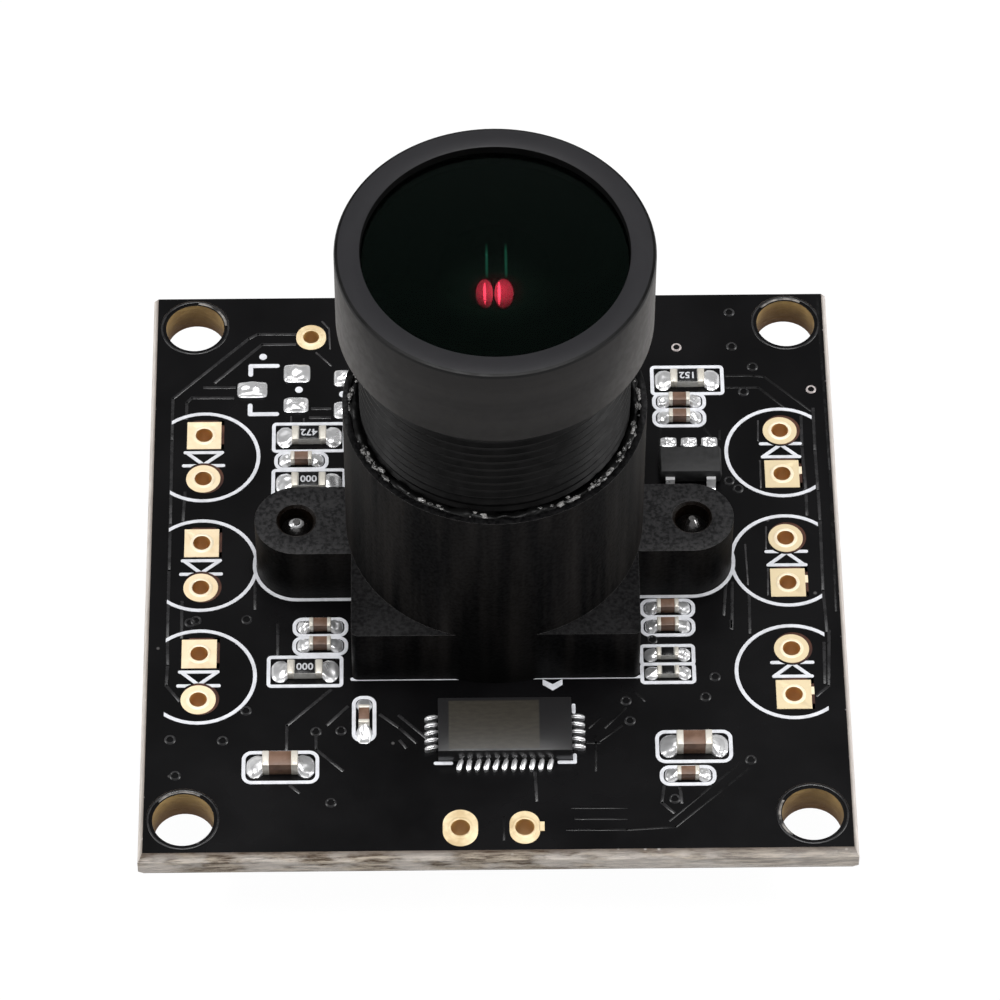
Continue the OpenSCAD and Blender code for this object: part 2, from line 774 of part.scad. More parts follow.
module at_regulator() {
  translate([reg_x, reg_y, board_t]) children();
}

// three places along the rear side and two along the front side
module at_regulator_leads(distance) {
  for (i = [-1, 0, 1]) translate([i * reg_pitch, distance, 0]) rotate(90) children();
  for (i = [-1, 1]) translate([i * reg_pitch, -distance, 0]) rotate(-90) children();
}

module at_memory_leads(distance) {
  for (turn = [0, 180], i = [-1.5 : 1.5])
    rotate(turn) translate([i * memory_pitch, distance, 0]) rotate(90) children();
}

// height zero is the underside here, and heights run down from it
module at_underside(x, y) {
  mirror([0, 0, 1]) translate([x, y, 0]) children();
}

module regulator_body() {
  color([0.2, 0.2, 0.2]) at_regulator() moulded_body(reg_w, reg_d, reg_h);
}

module regulator_leads() {
  color([0.85, 0.85, 0.87]) at_regulator() at_regulator_leads(reg_d / 2)
    bent_lead(lead_drop(reg_h), reg_reach);
}

module memory_body() {
  color([0.12, 0.12, 0.12]) at_underside(memory_x, memory_y) moulded_body(memory_w, memory_d, memory_h);
}

module memory_leads() {
  color([0.8, 0.8, 0.82]) at_underside(memory_x, memory_y) at_memory_leads(memory_d / 2)
    bent_lead(lead_drop(memory_h), memory_reach);
}

module crystal() {
  base_share = 0.4;
  rim = 0.15;
  color([0.78, 0.76, 0.7]) at_underside(crystal_x, crystal_y) {
    linear_extrude(crystal_h * base_share) rounded_rect(crystal_w, crystal_d, 0.2);
    linear_extrude(crystal_h) rounded_rect(crystal_w - 2 * rim, crystal_d - 2 * rim, 0.2);
  }
}

// ---------- chip resistors and capacitors ----------

module end_caps(case) {
  cap_l = case[0] * cap_share;
  for (s = [-1, 1]) translate([s * (case[0] - cap_l) / 2 - cap_l / 2, 0, case[2] / 2]) rotate([90, 0, 90])
    linear_extrude(cap_l) rounded_rect(case[1], case[2], 0.06);
}

// the ceramic between the end caps, h high
module ceramic(case, h) {
  inset = 0.05;
  w = case[1] - 2 * cap_proud;
  translate([-case[0] / 2 + inset, -w / 2, cap_proud]) cube([case[0] - 2 * inset, w, h - cap_proud]);
}

module chip_capacitor(case) {
  end_caps(case);
  ceramic(case, case[2] - cap_proud);
}

// the ceramic carries a raised coat between the caps
module chip_resistor(case) {
  coat_t = 0.05;
  coat_l = case[0] * (1 - 2 * cap_share) - 0.04;
  coat_w = case[1] - 0.08;
  end_caps(case);
  ceramic(case, case[2] - coat_t);
  translate([-coat_l / 2, -coat_w / 2, case[2] - 2 * coat_t]) cube([coat_l, coat_w, 2 * coat_t]);
}

module chip_part(p) {
  translate([p[3], p[4], 0]) rotate(p[5])
    if (p[1] == "resistor") color([0.1, 0.1, 0.11]) chip_resistor(p[2]);
    else color([0.47, 0.33, 0.25]) chip_capacitor(p[2]);
}

// solder that slopes down from the height h along the length l, with a hollow face
module solder_wedge(l, w, h, tip) {
  fall = h - tip;
  r = (l * l + fall * fall) / (2 * fall);
  side_profile(w) difference() {
    square([l, h]);
    translate([l, tip + r]) circle(r = r);
  }
}

// the solder at both ends of a part
module part_solder(p) {
  translate([p[3], p[4], 0]) rotate(p[5]) for (a = [0, 180]) rotate(a)
    translate([p[2][0] / 2, 0, 0]) solder_wedge(solder_l, p[2][1] + 0.06, p[2][2] * solder_share, 0.05);
}

// the small fillet at the tip of a bent lead
module lead_solder(l, w) {
  solder_wedge(l, w, lead_t, 0.03);
}

module solder_joints() {
  color([0.82, 0.82, 0.84]) {
    translate([0, 0, board_t]) for (p = top_parts) part_solder(p);
    for (p = under_parts) at_underside(0, 0) part_solder(p);
    at_regulator() at_regulator_leads(reg_d / 2 + reg_reach) lead_solder(reg_toe_l, reg_toe_w);
    at_underside(memory_x, memory_y) at_memory_leads(memory_d / 2 + memory_reach)
      lead_solder(memory_toe_l, lead_w + 0.06);
  }
}

// ---------- cable socket on the underside ----------

socket_mid = socket_h / 2 - 0.3;
socket_back = socket_depth / 2 + 0.12;

// the socket's front faces away from the lens, towards the board's edge
module at_socket() {
  at_underside(0, socket_y) rotate(180) children();
}

module at_contacts() {
  for (i = [0 : socket_ways - 1])
    translate([(i - (socket_ways - 1) / 2) * socket_pitch, 0, 0]) children();
}

// the straight part of a contact, from inside the slot to behind the housing
module contact_bar(extra) {
  front = -socket_depth / 2 + 1;
  w = contact_t + 2 * extra;
  translate([-w / 2, front, socket_mid - extra]) cube([w, socket_back - front + contact_t, w]);
}

// open towards the board's edge, with a latch notch in its outer wall
module socket_housing() {
  floor_t = 1.2;
  slot_w = socket_w - 2 * socket_wall;
  slot_h = socket_h - 2 * socket_wall;
  notch_w = 0.4 * socket_w;
  front = -socket_depth / 2;
  color([0.86, 0.84, 0.78]) at_socket() difference() {
    translate([-socket_w / 2, front, 0]) cube([socket_w, socket_depth, socket_h]);
    translate([-slot_w / 2, front - cut, socket_wall]) cube([slot_w, socket_depth - floor_t + cut, slot_h]);
    translate([-notch_w / 2, front - cut, socket_h - socket_wall - cut])
      cube([notch_w, 0.55 * socket_depth, socket_wall + 2 * cut]);
    at_contacts() contact_bar(fit_gap);
  }
}

module socket_contacts() {
  tail = 0.9;
  foot_t = 0.2;
  color([0.83, 0.78, 0.62]) at_socket() at_contacts() {
    contact_bar(0);
    translate([-contact_t / 2, socket_back, 0]) cube([contact_t, contact_t, socket_mid + contact_t]);
    translate([-contact_t / 2, socket_back, 0]) cube([contact_t, tail, foot_t]);
  }
}

// a bent plate on each side holds the socket to the board
module socket_anchors() {
  t = 0.25;
  l = 1.8;
  foot = 1.1;
  h = 1.5;
  color([0.8, 0.8, 0.82]) at_socket() for (side = [0, 1]) mirror([side, 0, 0])
    translate([socket_w / 2, -l / 2, 0]) {
      cube([t, l, h]);
      cube([foot, l, t]);
    }
}

pcb();
silkscreen();
led_pads();
wire_pads();
bare_pads();
solder_joints();
lens_holder();
holder_screws();
lens_barrel();
thread_adhesive();
front_glass();
spacer_ring();
second_glass();
aperture_stop();
third_glass();
rear_spacer();
rear_glass();
infrared_filter();
sensor_package();
sensor_die();
sensor_cover_glass();
processor_body();
processor_terminals();
regulator_body();
regulator_leads();
memory_body();
memory_leads();
crystal();
socket_housing();
socket_contacts();
socket_anchors();
for (p = top_parts)
  translate([0, 0, board_t]) chip_part(p);
for (p = under_parts)
  at_underside(0, 0) chip_part(p);
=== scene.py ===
import math
import random
import bpy
import bmesh
from mathutils import Matrix, Quaternion, Vector, noise


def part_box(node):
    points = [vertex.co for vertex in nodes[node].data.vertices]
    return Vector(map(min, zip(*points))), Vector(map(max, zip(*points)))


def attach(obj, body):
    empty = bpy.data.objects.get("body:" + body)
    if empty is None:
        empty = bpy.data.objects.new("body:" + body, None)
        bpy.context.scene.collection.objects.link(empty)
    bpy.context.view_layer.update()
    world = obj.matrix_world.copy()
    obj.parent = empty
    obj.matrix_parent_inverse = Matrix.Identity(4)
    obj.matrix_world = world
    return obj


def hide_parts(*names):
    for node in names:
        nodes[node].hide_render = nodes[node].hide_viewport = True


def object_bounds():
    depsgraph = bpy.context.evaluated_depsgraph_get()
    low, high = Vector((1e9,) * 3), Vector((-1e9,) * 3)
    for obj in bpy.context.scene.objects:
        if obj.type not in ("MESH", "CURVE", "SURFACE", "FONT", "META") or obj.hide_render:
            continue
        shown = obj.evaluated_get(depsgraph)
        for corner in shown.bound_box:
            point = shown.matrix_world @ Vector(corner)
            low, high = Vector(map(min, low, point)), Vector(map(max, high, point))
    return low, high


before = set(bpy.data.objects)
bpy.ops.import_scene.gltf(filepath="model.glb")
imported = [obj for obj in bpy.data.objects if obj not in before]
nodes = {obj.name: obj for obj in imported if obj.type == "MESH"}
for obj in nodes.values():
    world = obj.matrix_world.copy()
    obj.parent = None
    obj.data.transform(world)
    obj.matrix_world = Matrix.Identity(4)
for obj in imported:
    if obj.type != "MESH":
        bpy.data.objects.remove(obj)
cadBox = [list(corner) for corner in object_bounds()]
mm = 0.001
print("frame loaded,", len(nodes), "nodes")

# camera

cameraView = {
    "place": (-2.34, -153.32, 209.68),  # mm
    "azimuth": 0.97,  # degrees, looking to the rear
    "elevation": 52.97,  # degrees above the board
    "roll": 0.27,
    "lens": 202.5,  # mm on a 36 mm sensor
}


def makeCamera(view):
    camera = bpy.data.objects.new("camera", bpy.data.cameras.new("camera"))
    bpy.context.scene.collection.objects.link(camera)
    azimuth, elevation = math.radians(view["azimuth"]), math.radians(view["elevation"])
    forward = Vector((math.cos(elevation) * math.sin(azimuth),
                      math.cos(elevation) * math.cos(azimuth), -math.sin(elevation)))
    roll = Quaternion((0, 0, 1), math.radians(view["roll"]))
    camera.rotation_mode = "QUATERNION"
    camera.rotation_quaternion = forward.to_track_quat("-Z", "Y") @ roll
    camera.location = Vector(view["place"]) * mm
    camera.data.lens = view["lens"]
    camera.data.sensor_width = 36
    camera.data.clip_start = 0.001
    bpy.context.scene.camera = camera


makeCamera(cameraView)

# helpers for shader nodes


def newMaterial(name):
    material = bpy.data.materials.new(name)
    material.use_nodes = True
    tree = material.node_tree
    return material, tree, tree.nodes["Principled BSDF"]


def addNode(tree, kind, **settings):
    node = tree.nodes.new(kind)
    for key, value in settings.items():
        setattr(node, key, value)
    return node


def objectCoords(tree):
    return addNode(tree, "ShaderNodeTexCoord").outputs["Object"]


def splitXYZ(tree, vector):
    node = addNode(tree, "ShaderNodeSeparateXYZ")
    tree.links.new(vector, node.inputs[0])
    return node.outputs


def faceNormal(tree):
    return splitXYZ(tree, addNode(tree, "ShaderNodeNewGeometry").outputs["True Normal"])


def mapping(tree, vector, scale):
    node = addNode(tree, "ShaderNodeMapping")
    node.inputs["Scale"].default_value = scale
    tree.links.new(vector, node.inputs["Vector"])
    return node.outputs["Vector"]


def setInput(tree, socket, value):
    if isinstance(value, bpy.types.NodeSocket):
        tree.links.new(value, socket)
    elif isinstance(value, (tuple, list)) and len(value) == 3 and socket.type == "RGBA":
        socket.default_value = (*value, 1)
    else:
        socket.default_value = value


def math2(tree, operation, a, b=0.0, clamp=False):
    node = addNode(tree, "ShaderNodeMath", operation=operation, use_clamp=clamp)
    setInput(tree, node.inputs[0], a)
    setInput(tree, node.inputs[1], b)
    return node.outputs[0]


def awayFrom(tree, value, middle):
    # how far a value lies from its middle, on either side
    return math2(tree, "ABSOLUTE", math2(tree, "SUBTRACT", value, middle))


def hypotenuse(tree, a, b):
    squares = math2(tree, "ADD", math2(tree, "MULTIPLY", a, a), math2(tree, "MULTIPLY", b, b))
    return math2(tree, "SQRT", squares)


def blendColor(tree, factor, a, b):
    node = addNode(tree, "ShaderNodeMix", data_type="RGBA")
    setInput(tree, node.inputs["Factor"], factor)
    setInput(tree, node.inputs["A"], a)
    setInput(tree, node.inputs["B"], b)
    return node.outputs["Result"]


def stretch(tree, value, low, high, toLow=0.0, toHigh=1.0):
    node = addNode(tree, "ShaderNodeMapRange", clamp=True)
    for key, number in (("From Min", low), ("From Max", high), ("To Min", toLow), ("To Max", toHigh)):
        node.inputs[key].default_value = number
    tree.links.new(value, node.inputs["Value"])
    return node.outputs["Result"]


def noiseValue(tree, vector, scale, detail=3.0, roughness=0.5):
    node = addNode(tree, "ShaderNodeTexNoise")
    node.inputs["Scale"].default_value = scale
    node.inputs["Detail"].default_value = detail
    node.inputs["Roughness"].default_value = roughness
    tree.links.new(vector, node.inputs["Vector"])
    return node.outputs["Fac"]


def bump(tree, height, strength, distance, normal=None):
    node = addNode(tree, "ShaderNodeBump")
    node.inputs["Strength"].default_value = strength
    node.inputs["Distance"].default_value = distance
    tree.links.new(height, node.inputs["Height"])
    if normal is not None:
        tree.links.new(normal, node.inputs["Normal"])
    return node.outputs["Normal"]


def newGroup(name, inputs, outputs):
    group = bpy.data.node_groups.new(name, "ShaderNodeTree")
    for label, kind in inputs:
        group.interface.new_socket(label, in_out="INPUT", socket_type=kind)
    for label, kind in outputs:
        group.interface.new_socket(label, in_out="OUTPUT", socket_type=kind)
    start = group.nodes.new("NodeGroupInput")
    end = group.nodes.new("NodeGroupOutput")
    return group, start.outputs, end.inputs


def useGroup(tree, group, **values):
    node = addNode(tree, "ShaderNodeGroup", node_tree=group)
    for key, value in values.items():
        setInput(tree, node.inputs[key], value)
    return node.outputs


# effects that several materials share


def makeGrainGroup():
    # a fine even grain, as a height and as a soft mask
    group, given, result = newGroup(
        "fineGrain", [("Vector", "NodeSocketVector"), ("Scale", "NodeSocketFloat")],
        [("Height", "NodeSocketFloat"), ("Mask", "NodeSocketFloat")])
    fine = addNode(group, "ShaderNodeTexNoise")
    fine.inputs["Detail"].default_value = 4
    group.links.new(given["Vector"], fine.inputs["Vector"])
    group.links.new(given["Scale"], fine.inputs["Scale"])
    group.links.new(fine.outputs["Fac"], result["Height"])
    group.links.new(stretch(group, fine.outputs["Fac"], 0.38, 0.62), result["Mask"])
    return group


def makeSpeckGroup():
    # sparse bright specks: dust, flux and nicks
    group, given, result = newGroup(
        "specks", [("Vector", "NodeSocketVector"), ("Scale", "NodeSocketFloat"),
                   ("Amount", "NodeSocketFloat")], [("Mask", "NodeSocketFloat")])
    cells = addNode(group, "ShaderNodeTexVoronoi")
    group.links.new(given["Vector"], cells.inputs["Vector"])
    group.links.new(given["Scale"], cells.inputs["Scale"])
    near = stretch(group, cells.outputs["Distance"], 0.16, 0.08)
    shade = addNode(group, "ShaderNodeSeparateColor")
    group.links.new(cells.outputs["Color"], shade.inputs[0])
    chosen = math2(group, "LESS_THAN", shade.outputs[0], given["Amount"])
    group.links.new(math2(group, "MULTIPLY", near, chosen), result["Mask"])
    return group


def makeStreakGroup():
    # long faint streaks along Z, as moulding leaves them
    group, given, result = newGroup(
        "streaks", [("Vector", "NodeSocketVector"), ("Scale", "NodeSocketFloat")],
        [("Mask", "NodeSocketFloat")])
    squeezed = mapping(group, given["Vector"], (1, 1, 0.06))
    lines = addNode(group, "ShaderNodeTexNoise")
    lines.inputs["Detail"].default_value = 5
    group.links.new(squeezed, lines.inputs["Vector"])
    group.links.new(given["Scale"], lines.inputs["Scale"])
    group.links.new(stretch(group, lines.outputs["Fac"], 0.4, 0.7), result["Mask"])
    return group


fineGrain = makeGrainGroup()
specks = makeSpeckGroup()
streaks = makeStreakGroup()

# materials

goldLook = {"bright": (0.99, 0.83, 0.58), "dull": (0.90, 0.72, 0.46), "right": (0.80, 0.66, 0.42),
            "wall": (0.72, 0.40, 0.12)}
wornLook = {"bright": (0.96, 0.80, 0.52), "dull": (0.66, 0.50, 0.28), "right": (0.80, 0.64, 0.38),
            "wall": (0.66, 0.40, 0.13)}

boardLook = {
    "mask": (0.0023, 0.0022, 0.0025), "maskLight": (0.0036, 0.0034, 0.0039),
    "dust": (0.25, 0.24, 0.24), "edge": (0.62, 0.58, 0.58), "bare": (0.34, 0.30, 0.28),
    "glass": (0.62, 0.53, 0.43), "resin": (0.10, 0.07, 0.045), "pale": (0.86, 0.80, 0.75),
    "nick": (0.75, 0.70, 0.66), "underMask": (0.10, 0.065, 0.045), "foot": (0.05, 0.045, 0.045),
    "holeTop": (0.56, 0.38, 0.15), "holeDeep": (0.13, 0.06, 0.02),
    "thick": 1.6, "half": 16, "hole": (14, 1.5),  # mm: thickness, half its side, the holes' place and reach
}


def boardMaterial():
    look = boardLook
    material, tree, shader = newMaterial("blackBoard")
    coords = objectCoords(tree)
    place = splitXYZ(tree, coords)
    facing = faceNormal(tree)
    flat = math2(tree, "GREATER_THAN", math2(tree, "ABSOLUTE", facing["Z"]), 0.97)
    # solder mask, faintly cloudy, with the glass weave just showing
    grain = useGroup(tree, fineGrain, Vector=coords, Scale=900.0)
    cloud = stretch(tree, noiseValue(tree, coords, 220.0), 0.35, 0.65)
    maskColor = blendColor(tree, cloud, look["mask"], look["maskLight"])
    dust = useGroup(tree, specks, Vector=coords, Scale=1500.0, Amount=0.012)["Mask"]
    maskColor = blendColor(tree, math2(tree, "MULTIPLY", dust, 0.35), maskColor, look["dust"])
    # the mask is chipped along the scored edges
    half = look["half"] * mm
    rimX = stretch(tree, math2(tree, "ABSOLUTE", place["X"]), half - 0.30 * mm, half - 0.14 * mm)
    rimY = stretch(tree, math2(tree, "ABSOLUTE", place["Y"]), half - 0.12 * mm, half - 0.05 * mm)
    chips = useGroup(tree, specks, Vector=coords, Scale=3200.0, Amount=0.6)["Mask"]
    chipped = math2(tree, "MULTIPLY", math2(tree, "MAXIMUM", rimX, rimY), chips)
    maskColor = blendColor(tree, chipped, maskColor, look["edge"])
    bare = stretch(tree, place["X"], 0.14 * mm - half, 0.09 * mm - half, 0.0, 0.75)  # the left rim is scraped
    maskColor = blendColor(tree, bare, maskColor, look["bare"])
    # sawn laminate: layers of glass cloth in resin
    layered = mapping(tree, coords, (1, 1, 9))
    fibres = stretch(tree, noiseValue(tree, layered, 560.0, 7, 0.72), 0.42, 0.57)
    blotches = noiseValue(tree, mapping(tree, coords, (1, 1, 2.5)), 330.0, 4, 0.6)
    blotches = stretch(tree, blotches, 0.45, 0.56)
    cutColor = blendColor(tree, fibres, look["resin"], look["glass"])
    cutColor = blendColor(tree, math2(tree, "MULTIPLY", blotches, 0.62), cutColor, look["pale"])
    # paler to the right, and painted light on the faces that look left and right, as if lit from the sides
    toRight = stretch(tree, place["X"], 4 * mm, 14 * mm, 0.0, 0.45)
    cutColor = blendColor(tree, toRight, cutColor, look["pale"])
    litSides = stretch(tree, math2(tree, "ABSOLUTE", facing["X"]), 0.6, 0.8, 0.0, 0.7)
    cutColor = blendColor(tree, litSides, cutColor, look["pale"])
    height = stretch(tree, place["Z"], 0.0, look["thick"] * mm)
    topBand = stretch(tree, height, 0.80, 0.99)
    cutColor = blendColor(tree, math2(tree, "MULTIPLY", topBand, 0.75), cutColor, look["underMask"])
    lowBand = stretch(tree, height, 0.10, 0.02)
    cutColor = blendColor(tree, math2(tree, "MULTIPLY", lowBand, 0.8), cutColor, look["foot"])
    nicks = useGroup(tree, specks, Vector=coords, Scale=1700.0, Amount=0.45)["Mask"]
    cutColor = blendColor(tree, math2(tree, "MULTIPLY", nicks, topBand), cutColor, look["nick"])
    # walls of the mounting holes, with painted shade that darkens them deeper down, and random darker patches
    holePlace, holeReach = look["hole"]
    holeX = math2(tree, "SUBTRACT", math2(tree, "ABSOLUTE", place["X"]), holePlace * mm)
    holeY = math2(tree, "SUBTRACT", math2(tree, "ABSOLUTE", place["Y"]), holePlace * mm)
    inHole = math2(tree, "LESS_THAN", hypotenuse(tree, holeX, holeY), holeReach * mm)
    darkPatches = stretch(tree, noiseValue(tree, coords, 520.0, 4, 0.6), 0.40, 0.62, 0.0, 0.55)
    wallColor = blendColor(tree, stretch(tree, height, 0.0, 0.9), look["holeDeep"], look["holeTop"])
    wallColor = blendColor(tree, darkPatches, wallColor, look["holeDeep"])
    cutColor = blendColor(tree, inHole, cutColor, wallColor)
    tree.links.new(blendColor(tree, flat, cutColor, maskColor), shader.inputs["Base Color"])
    rough = stretch(tree, cloud, 0.0, 1.0, 0.22, 0.28)
    mixRough = addNode(tree, "ShaderNodeMix", data_type="FLOAT")
    tree.links.new(flat, mixRough.inputs["Factor"])
    mixRough.inputs["A"].default_value = 0.62
    tree.links.new(rough, mixRough.inputs["B"])
    tree.links.new(mixRough.outputs["Result"], shader.inputs["Roughness"])
    relief = bump(tree, grain["Height"], 0.12, 0.00004)
    relief = bump(tree, math2(tree, "MULTIPLY", fibres, math2(tree, "SUBTRACT", 1.0, flat)),
                  0.6, 0.00008, relief)
    tree.links.new(relief, shader.inputs["Normal"])
    shader.inputs["Specular IOR Level"].default_value = 0.22
    return material


def inkMaterial(name, color, rough, wear):
    material, tree, shader = newMaterial(name)
    coords = objectCoords(tree)
    cloud = stretch(tree, noiseValue(tree, coords, 2600.0, 4, 0.6), 0.32, 0.6)
    worn = tuple(c * wear for c in color)
    tree.links.new(blendColor(tree, cloud, worn, color), shader.inputs["Base Color"])
    tree.links.new(stretch(tree, cloud, 0, 1, rough, rough + 0.15), shader.inputs["Roughness"])
    tree.links.new(bump(tree, cloud, 0.25, 0.00002), shader.inputs["Normal"])
    shader.inputs["Specular IOR Level"].default_value = 0.3
    return material


def metalMaterial(name, bright, dull, roughLow, roughHigh, scale, relief=0.2, metallic=1.0):
    # plated or tinned metal: two tones, and roughness that drifts between them
    material, tree, shader = newMaterial(name)
    coords = objectCoords(tree)
    cloud = stretch(tree, noiseValue(tree, coords, scale, 3, 0.55), 0.35, 0.65)
    grain = useGroup(tree, fineGrain, Vector=coords, Scale=scale * 5)
    tree.links.new(blendColor(tree, cloud, dull, bright), shader.inputs["Base Color"])
    tree.links.new(stretch(tree, cloud, 0, 1, roughHigh, roughLow), shader.inputs["Roughness"])
    tree.links.new(bump(tree, grain["Height"], relief, 0.00003), shader.inputs["Normal"])
    shader.inputs["Metallic"].default_value = metallic
    return material


def goldMaterial(name, look):
    # gold plate: pale and satin on top, duller to the right, with painted shade in darker brown down the
    # walls of the holes
    material, tree, shader = newMaterial(name)
    coords = objectCoords(tree)
    facing = faceNormal(tree)
    flat = math2(tree, "GREATER_THAN", math2(tree, "ABSOLUTE", facing["Z"]), 0.4)
    cloud = stretch(tree, noiseValue(tree, coords, 1100.0, 3, 0.6), 0.35, 0.65)
    top = blendColor(tree, cloud, look["dull"], look["bright"])
    place = splitXYZ(tree, coords)
    top = blendColor(tree, stretch(tree, place["X"], 0, 10 * mm), top, look["right"])
    tree.links.new(blendColor(tree, flat, look["wall"], top), shader.inputs["Base Color"])
    grain = useGroup(tree, fineGrain, Vector=coords, Scale=4200.0)
    tree.links.new(stretch(tree, cloud, 0, 1, 0.6, 0.5), shader.inputs["Roughness"])
    tree.links.new(bump(tree, grain["Height"], 0.35, 0.00003), shader.inputs["Normal"])
    shader.inputs["Metallic"].default_value = 0.2
    return material


def plasticMaterial(name, dark, light, rough, specular, grainScale, grainRelief):
    # moulded plastic, epoxy or lacquer: two tones in a fine grain
    material, tree, shader = newMaterial(name)
    coords = objectCoords(tree)
    grain = useGroup(tree, fineGrain, Vector=coords, Scale=grainScale)
    tone = grain["Mask"]
    tree.links.new(blendColor(tree, tone, dark, light), shader.inputs["Base Color"])
    tree.links.new(stretch(tree, tone, 0, 1, rough - 0.05, rough + 0.07), shader.inputs["Roughness"])
    tree.links.new(bump(tree, grain["Height"], grainRelief, 0.00004), shader.inputs["Normal"])
    shader.inputs["Specular IOR Level"].default_value = specular
    return material


holderLook = {
    "topDark": (0.0050, 0.0049, 0.0055), "topPale": (0.0148, 0.0143, 0.0155),
    "wallDark": (0.0012, 0.0012, 0.0014), "wallPale": (0.0135, 0.0122, 0.0115),
    "wallEdge": (0.019, 0.0165, 0.0150), "hole": (0.0045, 0.0022, 0.0010),
    "wallSheen": 0.065, "topSheen": 0.29, "corner": 0.6,  # corner: how much painted shade darkens the corners
    "holeR": 0.8, "cornerX": 6.5,  # mm: the ears' holes, and where the ears begin
}


def holderMaterial(holeX, holeY):
    # moulded black plastic: grainy and paler on top, streaked down its walls, with a painted sheen on its
    # walls at glancing angles, painted shade at the corners beside the tube and dark brown painted shade in
    # its holes
    look = holderLook
    material, tree, shader = newMaterial("holderBlack")
    coords = objectCoords(tree)
    place = splitXYZ(tree, coords)
    up = stretch(tree, faceNormal(tree)["Z"], 0.6, 0.95)
    holeR, cornerX = look["holeR"] * mm, look["cornerX"] * mm
    grainScale = 6500.0
    grain = useGroup(tree, fineGrain, Vector=coords, Scale=grainScale)
    flow = useGroup(tree, streaks, Vector=coords, Scale=1100.0)["Mask"]
    topColor = blendColor(tree, grain["Mask"], look["topDark"], look["topPale"])
    wallColor = blendColor(tree, flow, look["wallDark"], look["wallPale"])
    # painted sheen: the walls turn paler at glancing angles
    glancing = stretch(tree, addNode(tree, "ShaderNodeLayerWeight").outputs["Facing"], 0.6, 0.98)
    wallColor = blendColor(tree, glancing, wallColor, look["wallEdge"])
    # painted shade: the tops of the corners beside the tube are darker than the ears, and their sheen is
    # dimmed
    outside = math2(tree, "ABSOLUTE", place["X"])
    corner = stretch(tree, outside, cornerX + 0.05 * mm, cornerX - 0.05 * mm, 0.0, look["corner"])
    topColor = blendColor(tree, corner, topColor, (0.0, 0.0, 0.0))
    color = blendColor(tree, up, wallColor, topColor)
    # painted shade: the ears' holes are dark brown inside
    toHole = [math2(tree, "SUBTRACT", a, b) for a, b in ((outside, holeX), (place["Y"], holeY))]
    away = hypotenuse(tree, *toHole)
    inHole = stretch(tree, away, holeR + 0.16 * mm, holeR + 0.04 * mm)
    tree.links.new(blendColor(tree, inHole, color, look["hole"]), shader.inputs["Base Color"])
    tree.links.new(stretch(tree, grain["Mask"], 0, 1, 0.46, 0.60), shader.inputs["Roughness"])
    tree.links.new(bump(tree, grain["Height"], 0.35, 0.00004), shader.inputs["Normal"])
    # the sheen varies with the same grain, read here without its group
    uneven = stretch(tree, noiseValue(tree, coords, grainScale, 4), 0.38, 0.62)
    sheen = math2(tree, "MULTIPLY", stretch(tree, up, 0, 1, look["wallSheen"], look["topSheen"]),
                  stretch(tree, uneven, 0, 1, 0.6, 1.4))
    dimmed = math2(tree, "SUBTRACT", 1.0, math2(tree, "MULTIPLY", corner, up))
    tree.links.new(math2(tree, "MULTIPLY", sheen, dimmed), shader.inputs["Specular IOR Level"])
    return material


anodisedLook = {
    "wallDark": (0.0165, 0.0153, 0.0150), "wallPale": (0.0212, 0.0197, 0.0191),
    "glancing": (0.104, 0.096, 0.091),
    "topDark": (0.0205, 0.0202, 0.0225), "topPale": (0.0245, 0.0241, 0.0262),
}


def anodisedMaterial():
    # black anodised aluminium, with turning marks round the axis and a painted sheen at its sides, paler
    # colour at glancing angles
    look = anodisedLook
    material, tree, shader = newMaterial("blackAnodised")
    coords = objectCoords(tree)
    grain = useGroup(tree, fineGrain, Vector=coords, Scale=2600.0)
    bands = noiseValue(tree, mapping(tree, coords, (0.05, 0.05, 1)), 1400.0, 3, 0.6)
    bands = stretch(tree, bands, 0.35, 0.65)
    up = stretch(tree, faceNormal(tree)["Z"], 0.6, 0.95)
    wall = blendColor(tree, bands, look["wallDark"], look["wallPale"])
    glancing = stretch(tree, addNode(tree, "ShaderNodeLayerWeight").outputs["Facing"], 0.48, 0.92)
    wall = blendColor(tree, glancing, wall, look["glancing"])
    top = blendColor(tree, bands, look["topDark"], look["topPale"])
    tree.links.new(blendColor(tree, up, wall, top), shader.inputs["Base Color"])
    tree.links.new(stretch(tree, grain["Mask"], 0, 1, 0.42, 0.52), shader.inputs["Roughness"])
    tree.links.new(bump(tree, grain["Height"], 0.18, 0.00003), shader.inputs["Normal"])
    shader.inputs["Specular IOR Level"].default_value = 0.15
    return material


def glassMaterial(name, tint, coat, ior):
    # coated glass: coat is the colour that its thin film throws back
    material, tree, shader = newMaterial(name)
    coords = objectCoords(tree)
    film = stretch(tree, noiseValue(tree, coords, 160.0, 2), 0.3, 0.7)
    tree.links.new(blendColor(tree, film, tint, tuple(c * 0.94 for c in tint)), shader.inputs["Base Color"])
    shader.inputs["Roughness"].default_value = 0.0
    shader.inputs["Transmission Weight"].default_value = 1.0
    shader.inputs["IOR"].default_value = ior
    shader.inputs["Specular Tint"].default_value = (*coat, 1)
    return material


depthLook = {
    "curve": 6.5, "rise": 0.45,  # mm, the dome's radius and height
    "dark": (0.0008, 0.0010, 0.0009), "coat": (1.0, 0.05, 0.10), "glow": (0.006, 0.011, 0.008),
    "center": (0.03, -1.33), "reach": (1.25, 0.95),  # mm, the oval zone of the red film
    "lines": (-0.36, 0.46), "lineY": (-0.75, 1.25), "lineHalf": 0.075, "lineColor": (0.012, 0.085, 0.052),
}


